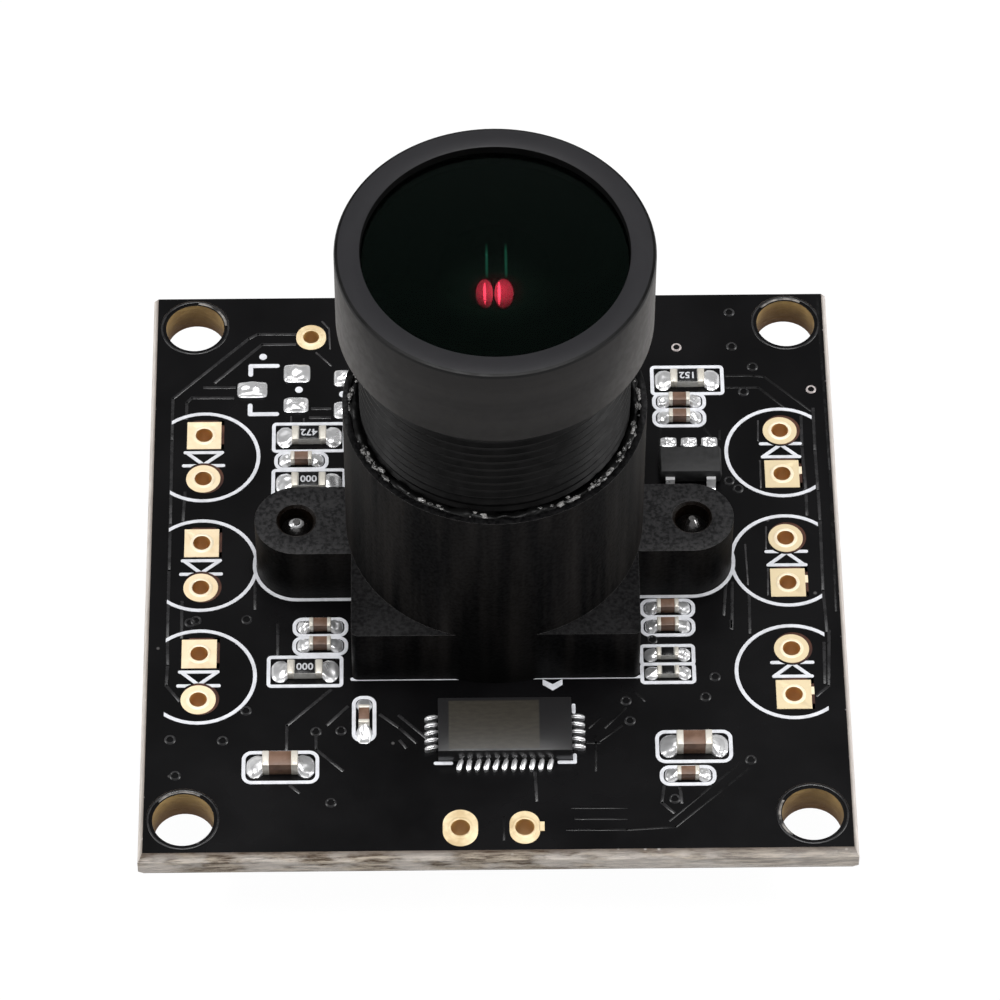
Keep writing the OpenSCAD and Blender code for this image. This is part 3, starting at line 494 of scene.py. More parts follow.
def lensDepthMaterial():
    # the dark inside of a coated glass, painted near black as shade: a red film in an oval zone, a faint
    # painted glow round it and thin green lines painted as reflections
    look = depthLook
    material, tree, shader = newMaterial("redCoat")
    place = splitXYZ(tree, objectCoords(tree))
    across = []
    for axis, center, reach in zip("XY", look["center"], look["reach"]):
        offset = math2(tree, "SUBTRACT", place[axis], center * mm)
        across.append(math2(tree, "DIVIDE", offset, reach * mm))
    away = hypotenuse(tree, *across)
    tree.links.new(stretch(tree, away, 1.0, 0.25), shader.inputs["Specular IOR Level"])
    color = blendColor(tree, stretch(tree, away, 2.1, 0.6, 0.0, 0.6), look["dark"], look["glow"])
    front, rear = (y * mm for y in look["lineY"])
    along = math2(tree, "MULTIPLY", stretch(tree, place["Y"], rear, rear - 0.7 * mm),
                  stretch(tree, place["Y"], front, front + 0.2 * mm))
    half = look["lineHalf"] * mm
    for x in look["lines"]:
        onLine = stretch(tree, awayFrom(tree, place["X"], x * mm), half, 0.2 * half)
        color = blendColor(tree, math2(tree, "MULTIPLY", onLine, along), color, look["lineColor"])
    tree.links.new(color, shader.inputs["Base Color"])
    shader.inputs["Specular Tint"].default_value = (*look["coat"], 1)
    shader.inputs["Roughness"].default_value = 0.0
    return material


shadedGlassLook = {"dark": (0.0004, 0.0008, 0.0006), "light": (0.0008, 0.0010, 0.0008)}


def coatedBlackMaterial(name, coat, specular, rough):
    # an inner glass that lies in the dark, painted black as shade, with its coating's reflection
    material, tree, shader = newMaterial(name)
    coords = objectCoords(tree)
    film = stretch(tree, noiseValue(tree, coords, 300.0, 2), 0.3, 0.7)
    tone = blendColor(tree, film, shadedGlassLook["dark"], shadedGlassLook["light"])
    tree.links.new(tone, shader.inputs["Base Color"])
    shader.inputs["Roughness"].default_value = rough
    shader.inputs["Specular IOR Level"].default_value = specular
    shader.inputs["Specular Tint"].default_value = (*coat, 1)
    return material


processorLook = {"field": (4.0, 2.55), "offset": (-0.485, -0.03), "body": (0.0165, 0.0160, 0.0168),  # mm
                 "fieldDark": (0.030, 0.0265, 0.0207), "fieldPale": (0.0385, 0.0343, 0.0266)}


def processorMaterial(center):
    # black silicon back with a paler coated field on its top
    look = processorLook
    material, tree, shader = newMaterial("processorBlack")
    coords = objectCoords(tree)
    place = splitXYZ(tree, coords)
    inside = []
    for axis, middle, offset, size in zip("XY", center, look["offset"], look["field"]):
        away = awayFrom(tree, place[axis], middle + offset * mm)
        inside.append(stretch(tree, away, size * mm / 2, size * mm / 2 + 0.06 * mm, 1, 0))
    top = math2(tree, "GREATER_THAN", place["Z"], center.z)
    mask = math2(tree, "MULTIPLY", math2(tree, "MULTIPLY", *inside), top)
    weave = useGroup(tree, fineGrain, Vector=mapping(tree, coords, (1, 3, 1)), Scale=2400.0)
    paler = blendColor(tree, weave["Mask"], look["fieldDark"], look["fieldPale"])
    tree.links.new(blendColor(tree, mask, look["body"], paler), shader.inputs["Base Color"])
    tree.links.new(stretch(tree, mask, 0, 1, 0.28, 0.42), shader.inputs["Roughness"])
    tree.links.new(bump(tree, weave["Height"], 0.1, 0.00002), shader.inputs["Normal"])
    shader.inputs["Specular IOR Level"].default_value = 0.4
    return material


# a metal is given a bright and a dull tone and its least and greatest roughness
# a plastic is given a dark and a light tone, roughness, sheen, the grain's scale and its relief
board = boardMaterial()
padRim = metalMaterial("padRim", (1.0, 0.89, 0.68), (0.96, 0.80, 0.55), 0.45, 0.55, 1500.0, 0.2, 0.2)
trackMask = plasticMaterial("maskOverTracks", (0.014, 0.0137, 0.0145), (0.024, 0.0234, 0.0246),
                            0.26, 0.5, 1800.0, 0.1)
faintMask = plasticMaterial("maskNearTracks", (0.0045, 0.0044, 0.0047), (0.0085, 0.0083, 0.0087),
                            0.26, 0.25, 1800.0, 0.1)
paleMask = plasticMaterial("maskOverEdges", (0.028, 0.027, 0.028), (0.050, 0.048, 0.050),
                           0.26, 0.6, 1800.0, 0.1)
ink = inkMaterial("whiteInk", (0.78, 0.79, 0.83), 0.55, 0.84)
partInk = inkMaterial("markInk", (0.66, 0.67, 0.70), 0.6, 0.75)
gold = goldMaterial("goldPlate", goldLook)
wornGold = goldMaterial("wornGold", wornLook)
laminate = plasticMaterial("bareLaminate", (0.05, 0.018, 0.012), (0.09, 0.035, 0.02),
                           0.5, 0.3, 1500.0, 0.3)
solder = metalMaterial("solder", (0.97, 0.97, 0.98), (0.82, 0.82, 0.83), 0.25, 0.34, 1200.0, 0.07, 0.78)
tinned = metalMaterial("tinnedLead", (0.92, 0.92, 0.93), (0.76, 0.76, 0.77),
                       0.26, 0.4, 1100.0, 0.3, 0.7)
capEnd = metalMaterial("capEnd", (0.88, 0.84, 0.76), (0.70, 0.66, 0.58), 0.38, 0.52, 1800.0, 0.4, 0.5)
steel = metalMaterial("screwSteel", (0.46, 0.45, 0.45), (0.10, 0.095, 0.09), 0.18, 0.34, 1500.0, 0.3)
viaRing = metalMaterial("tinnedRing", (0.62, 0.56, 0.55), (0.48, 0.43, 0.42),
                        0.4, 0.55, 1500.0, 0.2, 0.4)
nickel = metalMaterial("nickelLid", (0.66, 0.62, 0.54), (0.52, 0.49, 0.43), 0.3, 0.42, 700.0)
brass = metalMaterial("tinnedBrass", (0.78, 0.70, 0.50), (0.62, 0.53, 0.34), 0.24, 0.38, 900.0)
# a paler plastic for the holder's upper edges: a painted highlight
holderEdge = plasticMaterial("holderEdge", (0.055, 0.052, 0.051), (0.125, 0.118, 0.115),
                             0.45, 0.3, 2600.0, 0.2)
scuffedMask = plasticMaterial("scuffedMask", (0.02, 0.019, 0.018), (0.30, 0.28, 0.26),
                              0.4, 0.4, 2400.0, 0.3)
neckBlack = plasticMaterial("neckBlack", (0.0030, 0.0029, 0.0030), (0.0060, 0.0057, 0.0058),
                            0.42, 0.16, 1500.0, 0.3)
chipBlack = plasticMaterial("chipEpoxy", (0.014, 0.014, 0.0144), (0.024, 0.024, 0.0249),
                            0.55, 0.4, 3600.0, 0.4)
innerBlack = plasticMaterial("innerBlack", (0.0022, 0.0022, 0.0022), (0.0036, 0.0036, 0.0036),
                             0.8, 0.05, 2000.0, 0.2)
ceramicBlack = plasticMaterial("sensorCeramic", (0.018, 0.018, 0.020), (0.028, 0.028, 0.031),
                               0.5, 0.4, 2200.0, 0.3)
silicon = metalMaterial("siliconDie", (0.16, 0.20, 0.30), (0.10, 0.13, 0.20), 0.08, 0.16, 700.0, 0.05)
nylon = plasticMaterial("naturalNylon", (0.60, 0.55, 0.44), (0.70, 0.66, 0.56), 0.46, 0.4, 1500.0, 0.25)
resistorGlass = plasticMaterial("resistorGlass", (0.005, 0.005, 0.0056), (0.0085, 0.0085, 0.0092),
                                0.22, 0.4, 1600.0, 0.1)
alumina = plasticMaterial("alumina", (0.50, 0.49, 0.46), (0.62, 0.61, 0.58), 0.55, 0.4, 2600.0, 0.3)
brownCeramic = plasticMaterial("brownCeramic", (0.140, 0.078, 0.050), (0.205, 0.120, 0.082),
                               0.42, 0.45, 2400.0, 0.25)
anodised = anodisedMaterial()
glueBody = plasticMaterial("glueInGap", (0.0022, 0.0022, 0.0022), (0.005, 0.005, 0.005),
                           0.34, 0.25, 900.0, 0.3)
glueBead = plasticMaterial("glueBead", (0.015, 0.015, 0.015), (0.40, 0.39, 0.38),
                           0.14, 1.0, 3000.0, 0.3)
frontGlass = glassMaterial("frontGlass", (0.96, 0.99, 0.97), (0.12, 0.30, 0.22), 1.5)
redCoat = lensDepthMaterial()
greenCoat = coatedBlackMaterial("greenCoat", (0.10, 0.75, 0.45), 0.1, 0.04)
filterGlass = coatedBlackMaterial("filterGlass", (1.0, 0.25, 0.35), 0.9, 0.03)
coverGlass = glassMaterial("coverGlass", (0.95, 0.98, 0.98), (0.9, 0.95, 1.0), 1.5)
print("materials made")

# helpers for pieces


def finishPiece(bm, name, material, replaces=(), smoothAngle=35.0):
    bmesh.ops.recalc_face_normals(bm, faces=bm.faces[:])
    mesh = bpy.data.meshes.new(name)
    bm.to_mesh(mesh)
    bm.free()
    for entry in material if isinstance(material, (list, tuple)) else [material]:
        mesh.materials.append(entry)
    mesh.shade_smooth()
    mesh.set_sharp_from_angle(angle=math.radians(smoothAngle))
    piece = bpy.data.objects.new(name, mesh)
    bpy.context.scene.collection.objects.link(piece)
    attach(piece, "root")
    if replaces:
        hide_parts(*replaces)
    return piece


def dressNode(name, material):
    for entry in nodes[name].material_slots:
        entry.material = material


def softenNode(name, material, edge, angle=38.0, segments=2, dissolve=True):
    # a copy of a plain solid with its sharp edges rounded; a second, paler material goes on the rounded upper
    # edges as a painted highlight
    bm = bmesh.new()
    bm.from_mesh(nodes[name].data)
    bmesh.ops.remove_doubles(bm, verts=bm.verts[:], dist=0.0005 * mm)
    if dissolve:
        bmesh.ops.dissolve_limit(bm, angle_limit=math.radians(0.5), verts=bm.verts[:], edges=bm.edges[:])
    sharp = [e for e in bm.edges if len(e.link_faces) == 2 and e.calc_face_angle(0) > math.radians(angle)]
    rounded = bmesh.ops.bevel(bm, geom=sharp, offset=edge * mm, offset_type="OFFSET", affect="EDGES",
                              segments=segments, profile=0.5, material=-1, clamp_overlap=True)["faces"]
    if isinstance(material, (list, tuple)):
        bmesh.ops.recalc_face_normals(bm, faces=bm.faces[:])
        for face in rounded:
            if face.is_valid and face.normal.z > 0.25:
                face.material_index = 1
    return finishPiece(bm, nameOf(name), material, (name,))


def nameOf(node):
    words = node.split("_")
    return words[0] + "".join(word.capitalize() for word in words[1:])


def stampOnto(bm, part):
    # adds a finished small shape to the piece that is being made
    mesh = bpy.data.meshes.new("stamp")
    part.to_mesh(mesh)
    part.free()
    bm.from_mesh(mesh)
    bpy.data.meshes.remove(mesh)


def addBlock(bm, center, size, turn=0.0, edge=0.0, segments=2, materialIndex=0):
    part = bmesh.new()
    bmesh.ops.create_cube(part, size=1.0)
    place = Matrix.Translation(center) @ Matrix.Rotation(turn, 4, "Z") @ Matrix.Diagonal((*size, 1))
    bmesh.ops.transform(part, matrix=place, verts=part.verts[:])
    if edge > 0:
        bmesh.ops.bevel(part, geom=part.edges[:], offset=edge, offset_type="OFFSET", affect="EDGES",
                        segments=segments, profile=0.5, material=-1, clamp_overlap=True)
    for face in part.faces:
        face.material_index = materialIndex
    stampOnto(bm, part)


def gridCube(cuts):
    # a cube from -1 to 1 whose faces are cut into a grid
    part = bmesh.new()
    bmesh.ops.create_cube(part, size=2.0)
    bmesh.ops.subdivide_edges(part, edges=part.edges[:], cuts=cuts, use_grid_fill=True)
    return part


def spinProfile(bm, points, steps, closed=True):
    # turns a chain of (radius, height) points round the Z axis
    verts = [bm.verts.new((r, 0, z)) for r, z in points]
    pairs = list(zip(verts, verts[1:])) + ([(verts[-1], verts[0])] if closed else [])
    edges = [bm.edges.new(pair) for pair in pairs]
    bmesh.ops.spin(bm, geom=verts + edges, axis=(0, 0, 1), cent=(0, 0, 0), angle=math.tau, steps=steps,
                   use_merge=True)
    bmesh.ops.remove_doubles(bm, verts=bm.verts[:], dist=0.0002 * mm)


def spinThread(bm, ridge, start, pitch, turns, steps):
    # a ridge of (radius, height) points that climbs round the Z axis, in so many steps a turn
    verts = [bm.verts.new((r, 0, start + z)) for r, z in ridge]
    face = bm.faces.new(verts)
    bmesh.ops.spin(bm, geom=verts + face.edges[:] + [face], axis=(0, 0, 1), cent=(0, 0, 0),
                   dvec=(0, 0, pitch / steps), angle=math.tau * turns, steps=int(steps * turns))


def arcPoints(centerZ, radius, fromR, toR, count):
    # points on a domed face between two distances from the axis
    points = []
    for i in range(count + 1):
        r = fromR + (toR - fromR) * i / count
        points.append((r, centerZ + math.sqrt(max(radius * radius - r * r, 0))))
    return points


# circuit board

dressNode("pcb", board)
dressNode("silkscreen", ink)

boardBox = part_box("pcb")
boardTop = boardBox[1].z

# each track is a chain of (x, y) in mm, seen from above
trackLook = {"width": 0.15, "height": 0.022, "edge": 0.02, "sunk": 0.02}
tracks = [
    [(-9.26, 13.56), (-11.02, 13.58), (-11.44, 13.32), (-14.96, 9.75), (-14.95, 7.26), (-14.92, 2.36),
     (-14.92, -0.27), (-14.91, -4.11), (-14.87, -5.61), (-14.91, -6.72), (-14.31, -7.56)],
    [(-9.26, 12.96), (-10.82, 12.95), (-13.0, 10.69)],
    [(-13.51, 10.39), (-12.06, 10.38)],
    [(-12.14, 9.76), (-14.07, 9.78), (-14.3, 9.51), (-14.3, 8.55)],
    [(-14.28, 4.21), (-14.34, 2.59)],
    [(-14.29, -2.04), (-14.27, -4.06)],
    [(-8.43, 9.08), (-7.58, 9.08)],
    [(-8.52, 8.55), (-7.58, 8.54)],
    [(-10.97, -1.0), (-10.95, -2.47)],
    [(-9.89, -3.38), (-9.89, -5.11)],
    [(-7.46, -7.03), (-9.43, -8.98), (-9.44, -10.29)],
    [(-6.71, -7.97), (-7.61, -8.95)],
    [(-8.12, -9.6), (-8.11, -10.3), (-6.92, -11.46)],
    [(-9.26, -12.24), (-8.86, -12.62)],
    [(-5.24, -8.43), (-4.39, -9.15), (-3.63, -9.97)],
    [(-4.39, -8.49), (-3.18, -9.71)],
    [(-4.35, -9.86), (-4.08, -10.24)],
    [(1.68, -11.66), (1.74, -13.17)],
    [(7.43, -12.43), (7.31, -13.34), (7.83, -13.88)],
    [(8.14, -12.54), (8.2, -13.35)],
    [(14.94, -4.67), (14.88, -6.89)],
    [(15.2, -4.0), (15.05, -7.06), (14.49, -7.6)],
    [(10.76, -3.39), (10.75, -3.78)],
    [(11.64, -1.82), (11.6, -4.07)],
    [(10.59, -1.35), (10.45, -3.05)],
    [(10.89, -1.24), (10.79, -3.84)],
    [(14.49, 8.36), (14.45, 6.58), (14.52, 4.01), (14.5, 2.62)],
    [(15.07, 8.83), (15.05, 6.34), (15.08, 4.0), (15.09, 2.26), (15.04, -1.74), (15.11, -4.0)],
]
# these barely show
faintTracks = [
    [(4.15, -9.24), (4.66, -8.7)],
    [(4.87, -9.25), (5.84, -8.17)],
    [(4.63, -9.96), (5.64, -9.15)],
    [(4.04, -10.06), (4.63, -10.07)],
    [(4.45, -9.68), (4.41, -11.58)],
    [(6.27, -7.29), (6.71, -7.79)],
    [(0.26, -14.01), (0.25, -15.23)],
    [(3.3, -13.56), (5.74, -13.59)],
    [(3.42, -14.15), (5.73, -14.18)],
    [(3.05, -14.73), (5.71, -14.76), (7.89, -14.63), (11.3, -11.5)],
    [(7.63, -14.3), (10.87, -11.22)],
    [(11.06, 10.84), (12.38, 10.83), (12.85, 10.76), (14.97, 8.71)],
    [(11.04, 10.15), (12.54, 10.13), (13.72, 8.96)],
    [(7.86, 7.72), (7.79, 5.48)],
    [(10.64, 7.57), (10.62, 7.1)],
    [(9.92, 7.7), (10.36, 7.1)],
    [(15.57, 15.47), (15.69, 5.16), (15.58, -2.88)],
]
# and these show a pale edge
paleTracks = [
    [(-8.26, 12.44), (-7.55, 11.65)],
    [(-7.99, 14.32), (-7.66, 13.89), (-7.6, 12.67)],
    [(-9.41, 8.62), (-9.4, 8.2)],
    [(-8.8, 8.49), (-8.8, 8.2)],
    [(12.46, 8.14), (12.41, 6.96)],
    [(12.46, 5.78), (12.44, 4.21)],
    [(12.58, 1.94), (12.53, 0.68)],
    [(12.57, -0.46), (12.51, -1.94)],
    [(11.57, 0.92), (11.62, -1.36)],
]


def makeTracks():
    look = trackLook
    bm = bmesh.new()
    # chains, with their share of the width and of the height
    kinds = ((tracks, 1, 1), (paleTracks, 0.6, 1), (faintTracks, 0.8, 0.5))
    for kind, (chains, wide, high) in enumerate(kinds):
        width, height = look["width"] * wide, look["height"] * high
        for chain in chains:
            for start, end in zip(chain, chain[1:]):
                a, b = Vector(start), Vector(end)
                run = b - a
                middle = Vector(((a.x + b.x) / 2, (a.y + b.y) / 2, 0)) * mm
                middle.z = boardTop + height * mm / 2 - look["sunk"] * mm / 2
                size = Vector((run.length + width * 0.7, width, height + look["sunk"])) * mm
                addBlock(bm, middle, size, math.atan2(run.y, run.x), look["edge"] * mm, 2, kind)
    finishPiece(bm, "boardTracks", [trackMask, paleMask, faintMask])


viaLook = {
    "ringR": 0.2, "wall": 0.09, "openR": 0.19, "openWall": 0.08, "height": 0.05,
    "holePlace": 14, "holeRim": (1.56, 0.07, 0.02), "scuff": (1.46, 0.09, 0.02), "scuffSweep": 80.0,
}
coveredVias = [(11.36, -11.07), (-13.63, -3.11), (-13.9, -3.22), (-11.31, -3.08), (-11.28, -8.14),
               (-14.67, -9.69), (-12.31, -9.77), (-14.4, -11.64), (-8.12, -9.32), (-7.0, -9.28),
               (-7.43, -13.17), (5.85, -7.78), (6.0, -8.88), (9.92, -6.5), (9.45, -7.6),
               (7.89, -13.13), (7.13, -4.41), (10.97, 4.63), (11.37, 4.16), (11.35, 14.68),
               (11.39, 12.61), (12.33, 11.37), (11.85, 9.88)]
openVias = [(8.78, 12.58), (15.03, 9.98)]
holeScuffs = [(-14, 14, 5), (14, -14, 150), (-14, -14, 60), (14, 14, 60)]  # x, y and first angle


def addRing(bm, x, y, ringR, wall, height, base=0.0, fromTurn=0.0, sweep=360.0, steps=24, materialIndex=0):
    # a low ridge round a place on the board, all the way or over part of a turn
    part = bmesh.new()
    inner, outer = ringR - wall / 2, ringR + wall / 2
    profile = [(inner, -0.01), (inner, height * 0.6), (ringR - wall * 0.2, height),
               (ringR + wall * 0.2, height), (outer, height * 0.5), (outer + wall * 0.3, -0.01)]
    verts = [part.verts.new((r * mm, 0, z * mm)) for r, z in profile]
    edges = [part.edges.new(pair) for pair in zip(verts, verts[1:] + verts[:1])]
    turn = Matrix.Rotation(math.radians(fromTurn), 3, "Z")
    bmesh.ops.rotate(part, cent=(0, 0, 0), matrix=turn, verts=verts)
    bmesh.ops.spin(part, geom=verts + edges, axis=(0, 0, 1), cent=(0, 0, 0), angle=math.radians(sweep),
                   steps=steps, use_merge=sweep == 360.0)
    bmesh.ops.translate(part, vec=(x * mm, y * mm, boardTop + base * mm), verts=part.verts[:])
    for face in part.faces:
        face.material_index = materialIndex
    stampOnto(bm, part)


def makeVias():
    look = viaLook
    bm = bmesh.new()
    for x, y in coveredVias:
        addRing(bm, x, y, look["ringR"], look["wall"], look["height"])
    for sideX in (-1, 1):
        for sideY in (-1, 1):
            addRing(bm, sideX * look["holePlace"], sideY * look["holePlace"], *look["holeRim"], steps=72)
    finishPiece(bm, "coveredVias", trackMask)
    bm = bmesh.new()
    for x, y, fromTurn in holeScuffs:
        addRing(bm, x, y, *look["scuff"], 0.0, fromTurn, look["scuffSweep"], 30)
    finishPiece(bm, "holeRings", scuffedMask)
    bm = bmesh.new()
    for x, y in openVias:
        addRing(bm, x, y, look["openR"], look["openWall"], look["height"])
    finishPiece(bm, "openVias", viaRing)


lampLook = {"x": 13.45, "rowPitch": 6.26, "leadPitch": 2.54, "padW": 1.6, "holeR": 0.4}


def padPlaces():
    # each lamp has a square pad and a round one
    look = lampLook
    for side in (-1, 1):
        for row in (-1, 0, 1):
            for end in (-1, 1):
                yield side * look["x"], row * look["rowPitch"] + end * look["leadPitch"] / 2, end == -side


# the mask's opening round each pad lies a little off centre and stays clear of the hole
openingLook = {"grow": 0.10, "shift": (0.08, 0.05), "height": 0.012, "clear": 0.55}


def makeMaskOpenings():
    look = openingLook
    bm = bmesh.new()
    w = lampLook["padW"] + look["grow"]
    strip = w / 2 - look["clear"]
    for x, y, square in padPlaces():
        x, y = x + look["shift"][0], y + look["shift"][1]
        if not square:
            addRing(bm, x, y, (w / 2 + look["clear"]) / 2, strip, look["height"] / 2, steps=48)
            continue
        for side in (-1, 1):
            off = side * (w - strip) / 2
            for dx, dy, long, deep in ((off, 0, strip, w), (0, off, w, strip)):
                center = Vector(((x + dx) * mm, (y + dy) * mm, boardTop + 0.001 * mm))
                addBlock(bm, center, (long * mm, deep * mm, look["height"] * mm), 0.0, 0.003 * mm, 1)
    finishPiece(bm, "padSurrounds", laminate)


makeTracks()
makeVias()
makeMaskOpenings()

# pads and solder

wireHoles = [(-1.68, -14.6, 0.43), (1.18, -14.6, 0.43), (-8.5, 13.35, 0.38)]  # x, y and radius
padLook = {"rimWall": 0.13, "rimHeight": 0.03, "tab": (0.16, 0.42), "wireTab": (1.94, -14.55, 0.24, 0.5)}


def makePads():
    softenNode("led_pads", gold, 0.015, 40.0, 1)
    softenNode("wire_pads", wornGold, 0.015, 40.0, 1)
    # plating stands up a little round each hole, and some pads have a small tab
    look = padLook
    wall, height = look["rimWall"], look["rimHeight"]
    bm = bmesh.new()
    top = (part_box("led_pads")[1].z - boardTop) / mm

    def addTab(x, y, w, d, materialIndex):
        center = Vector((x * mm, y * mm, boardTop + top / 2 * mm))
        addBlock(bm, center, (w * mm, d * mm, top * mm), 0, 0.01 * mm, 1, materialIndex)

    for x, y, square in padPlaces():
        addRing(bm, x, y, lampLook["holeR"] + wall / 2, wall, height, top)
        if square and x > 0:
            tabW, tabD = look["tab"]
            addTab(x + lampLook["padW"] / 2 + tabW / 2 - 0.03, y + 0.2, tabW, tabD, 0)
    for x, y, r in wireHoles:
        addRing(bm, x, y, r + wall / 2, wall, height, top, materialIndex=1)
    addTab(*look["wireTab"], 1)
    finishPiece(bm, "padRims", [padRim, wornGold])


makePads()

blobLook = {"dome": 0.2, "uneven": 0.13, "cuts": 12}


def addBlob(bm, center, w, d, dome, seed, base=0.05):
    # a cushion of solder on a small pad: high in the middle, round at the corners
    part = gridCube(blobLook["cuts"])
    for v in part.verts:
        a, b = v.co.x, v.co.y
        corner = (abs(a) ** 6 + abs(b) ** 6) ** (1 / 6)
        pull = 1.0 if corner <= 1 else 1 / corner
        rise = (max(0.0, 1 - a * a) * max(0.0, 1 - b * b)) ** 0.5
        wave = noise.noise(Vector((a * 1.7 + seed * 3.7, b * 1.7, seed))) * blobLook["uneven"]
        top = (base + (dome + wave) * rise) * mm
        v.co = Vector((a * pull * w / 2 * mm, b * pull * d / 2 * mm, top if v.co.z > 0 else 0.0))
    bmesh.ops.translate(part, vec=center, verts=part.verts[:])
    stampOnto(bm, part)


# the five bare pads, as (x, y, width, depth) in mm
barePads = [(-11.24, 10.2, 1.4, 0.92), (-9.15, 11.16, 1.24, 1.05), (-9.18, 9.27, 1.16, 0.86),
            (-6.95, 10.85, 0.9, 0.95), (-6.95, 8.95, 0.9, 0.95)]


def makeBarePads():
    bm = bmesh.new()
    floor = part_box("bare_pads")[0].z
    for i, (x, y, w, d) in enumerate(barePads):
        addBlob(bm, Vector((x * mm, y * mm, floor)), w, d, blobLook["dome"], i)
    finishPiece(bm, "tinnedPads", solder, ("bare_pads",), 60.0)


makeBarePads()

filletLook = {
    "small": (0.56, 0.11), "large": (0.74, 0.19),  # reach and side in mm
    "long": {"capacitor_chip_left": 0.85},
    "rise": 0.66,  # share of a chip's height
    "cushion": 0.2, "uneven": 0.085, "cuts": 10,
    "lead": (0.68, 0.26), "leadUnder": (0.42, 0.18), "leadHeight": 0.14,  # width and reach in mm
    # thick solder behind the regulator
    "rear": {"w": 0.74, "d": 0.5, "dome": 0.1, "base": 0.24}, "rearOut": 0.08,
}


def addFillet(bm, origin, turn, w, h, reach, seed, flip=1, side=0.05):
    # solder against an end cap: a hollow slope that runs out into a cushion on the pad
    look = filletLook
    part = gridCube(look["cuts"])
    lean = noise.noise(Vector((seed * 5.1, 2.0, 0.5))) * 0.5
    cushion = min(look["cushion"], h * 0.6)
    for v in part.verts:
        a, b = (v.co.x + 1) / 2, v.co.y
        half = (w / 2 + side * min(1.0, a / 0.3)) * (1 - 0.28 * max(0.0, (a - 0.6) / 0.4) ** 2)
        slope = (1 - a) ** 2.1 * (1 - 0.3 * b * b) * (1 + lean * b)
        rim = max(0.0, 1 - a ** 4) ** 0.6 * max(0.0, 1 - b ** 4) ** 0.6
        wave = noise.noise(Vector((a * 2.4 + seed * 1.9, b * 1.8, seed * 1.7))) * look["uneven"] * rim
        top = max(0.004, (h - cushion) * slope + cushion * rim + wave)
        v.co = Vector(((a * reach * (1 - 0.12 * b ** 4) - 0.015) * mm, b * half * mm,
                       (top if v.co.z > 0 else 0.0) * mm * flip))
    bmesh.ops.rotate(part, cent=(0, 0, 0), matrix=Matrix.Rotation(turn, 3, "Z"), verts=part.verts[:])
    bmesh.ops.translate(part, vec=origin, verts=part.verts[:])
    stampOnto(bm, part)


def chipNames(word):
    return sorted(name for name in nodes if word in name and not name.endswith(("body", "leads")))


chips = chipNames("resistor_") + chipNames("capacitor_")


def chipShape(name):
    lo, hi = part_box(name)
    size = hi - lo
    along = 0.0 if size.x > size.y else math.pi / 2
    length, width = max(size.x, size.y), min(size.x, size.y)
    under = hi.z < boardTop / 2
    return (lo + hi) / 2, length, width, size.z, along, under


# the leads of each chip, as x in mm from its middle and the side they stand on
leadPlaces = {
    "regulator_leads": [(-0.95, 1), (0, 1), (0.95, 1), (-0.95, -1), (0.95, -1)],
    "memory_leads": [(i * 1.27, side) for i in (-1.5, -0.5, 0.5, 1.5) for side in (-1, 1)],
}


def makeSolder():
    look = filletLook
    bm = bmesh.new()
    for i, name in enumerate(chips):
        center, length, width, height, turn, under = chipShape(name)
        floor = boardBox[0].z if under else boardTop
        for k, end in enumerate((0.0, math.pi)):
            out = Vector((math.cos(turn + end), math.sin(turn + end), 0))
            origin = Vector((center.x, center.y, floor)) + out * length / 2
            reach, side = look["large" if length > 1.3 * mm else "small"]
            if k == 1:
                reach = look["long"].get(name, reach)
            addFillet(bm, origin, turn + end, width / mm, look["rise"] * height / mm, reach,
                      i * 2 + k, -1 if under else 1, side)
    for leads, rows in leadPlaces.items():
        lo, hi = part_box(leads)
        under = hi.z < boardTop / 2
        floor = hi.z if under else lo.z
        for k, (x, side) in enumerate(rows):
            y = hi.y if side > 0 else lo.y
            origin = Vector(((lo.x + hi.x) / 2 + x * mm, y - side * 0.02 * mm, floor))
            w, reach = look["leadUnder" if under else "lead"]
            addFillet(bm, origin, side * math.pi / 2, w, look["leadHeight"], reach,
                      60 + k, -1 if under else 1)
    lo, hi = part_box("regulator_leads")
    for k, (x, side) in enumerate(leadPlaces["regulator_leads"]):
        if side > 0:
            center = Vector(((lo.x + hi.x) / 2 + x * mm, hi.y + look["rearOut"] * mm, boardTop))
            addBlob(bm, center, seed=80 + k, **look["rear"])
    finishPiece(bm, "solderJoints", solder, ("solder_joints",), 60.0)


makeSolder()
print("board made")

# chip resistors and capacitors

# a cap's share of the length, its rounding, and how far it stands out; a resistor's coat and its bare rim
chipLook = {"share": 0.2, "edge": 0.045, "proud": 0.015, "coat": 0.05, "rim": 0.03}


def makeChip(name):
    look = chipLook
    center, length, width, height, turn, under = chipShape(name)
    bm = bmesh.new()
    cap = length * look["share"]
    out = Vector((math.cos(turn), math.sin(turn), 0))
    for side in (-1, 1):
        addBlock(bm, center + out * side * (length - cap) / 2, (cap, width, height), turn,
                 look["edge"] * mm, 3, 0)
    inner = (length - 0.1 * mm, width - 2 * look["proud"] * mm, height - 2 * look["proud"] * mm)
    up = -1 if under else 1
    if "resistor" in name:
        coat = look["coat"] * mm
        lower = Vector((0, 0, -up * coat / 2))
        addBlock(bm, center + lower, (inner[0], inner[1], height - coat), turn, 0.01 * mm, 1, 1)
        top = Vector((0, 0, up * (height / 2 - coat)))
        size = (length - 2 * cap - 0.04 * mm, width - 2 * look["rim"] * mm, 2 * coat)
        addBlock(bm, center + top, size, turn, 0.02 * mm, 2, 2)
        return finishPiece(bm, nameOf(name), [capEnd, alumina, resistorGlass], (name,))
    addBlock(bm, center, inner, turn, 0.03 * mm, 2, 1)
    return finishPiece(bm, nameOf(name), [capEnd, brownCeramic], (name,))


for chip in chips:
    makeChip(chip)

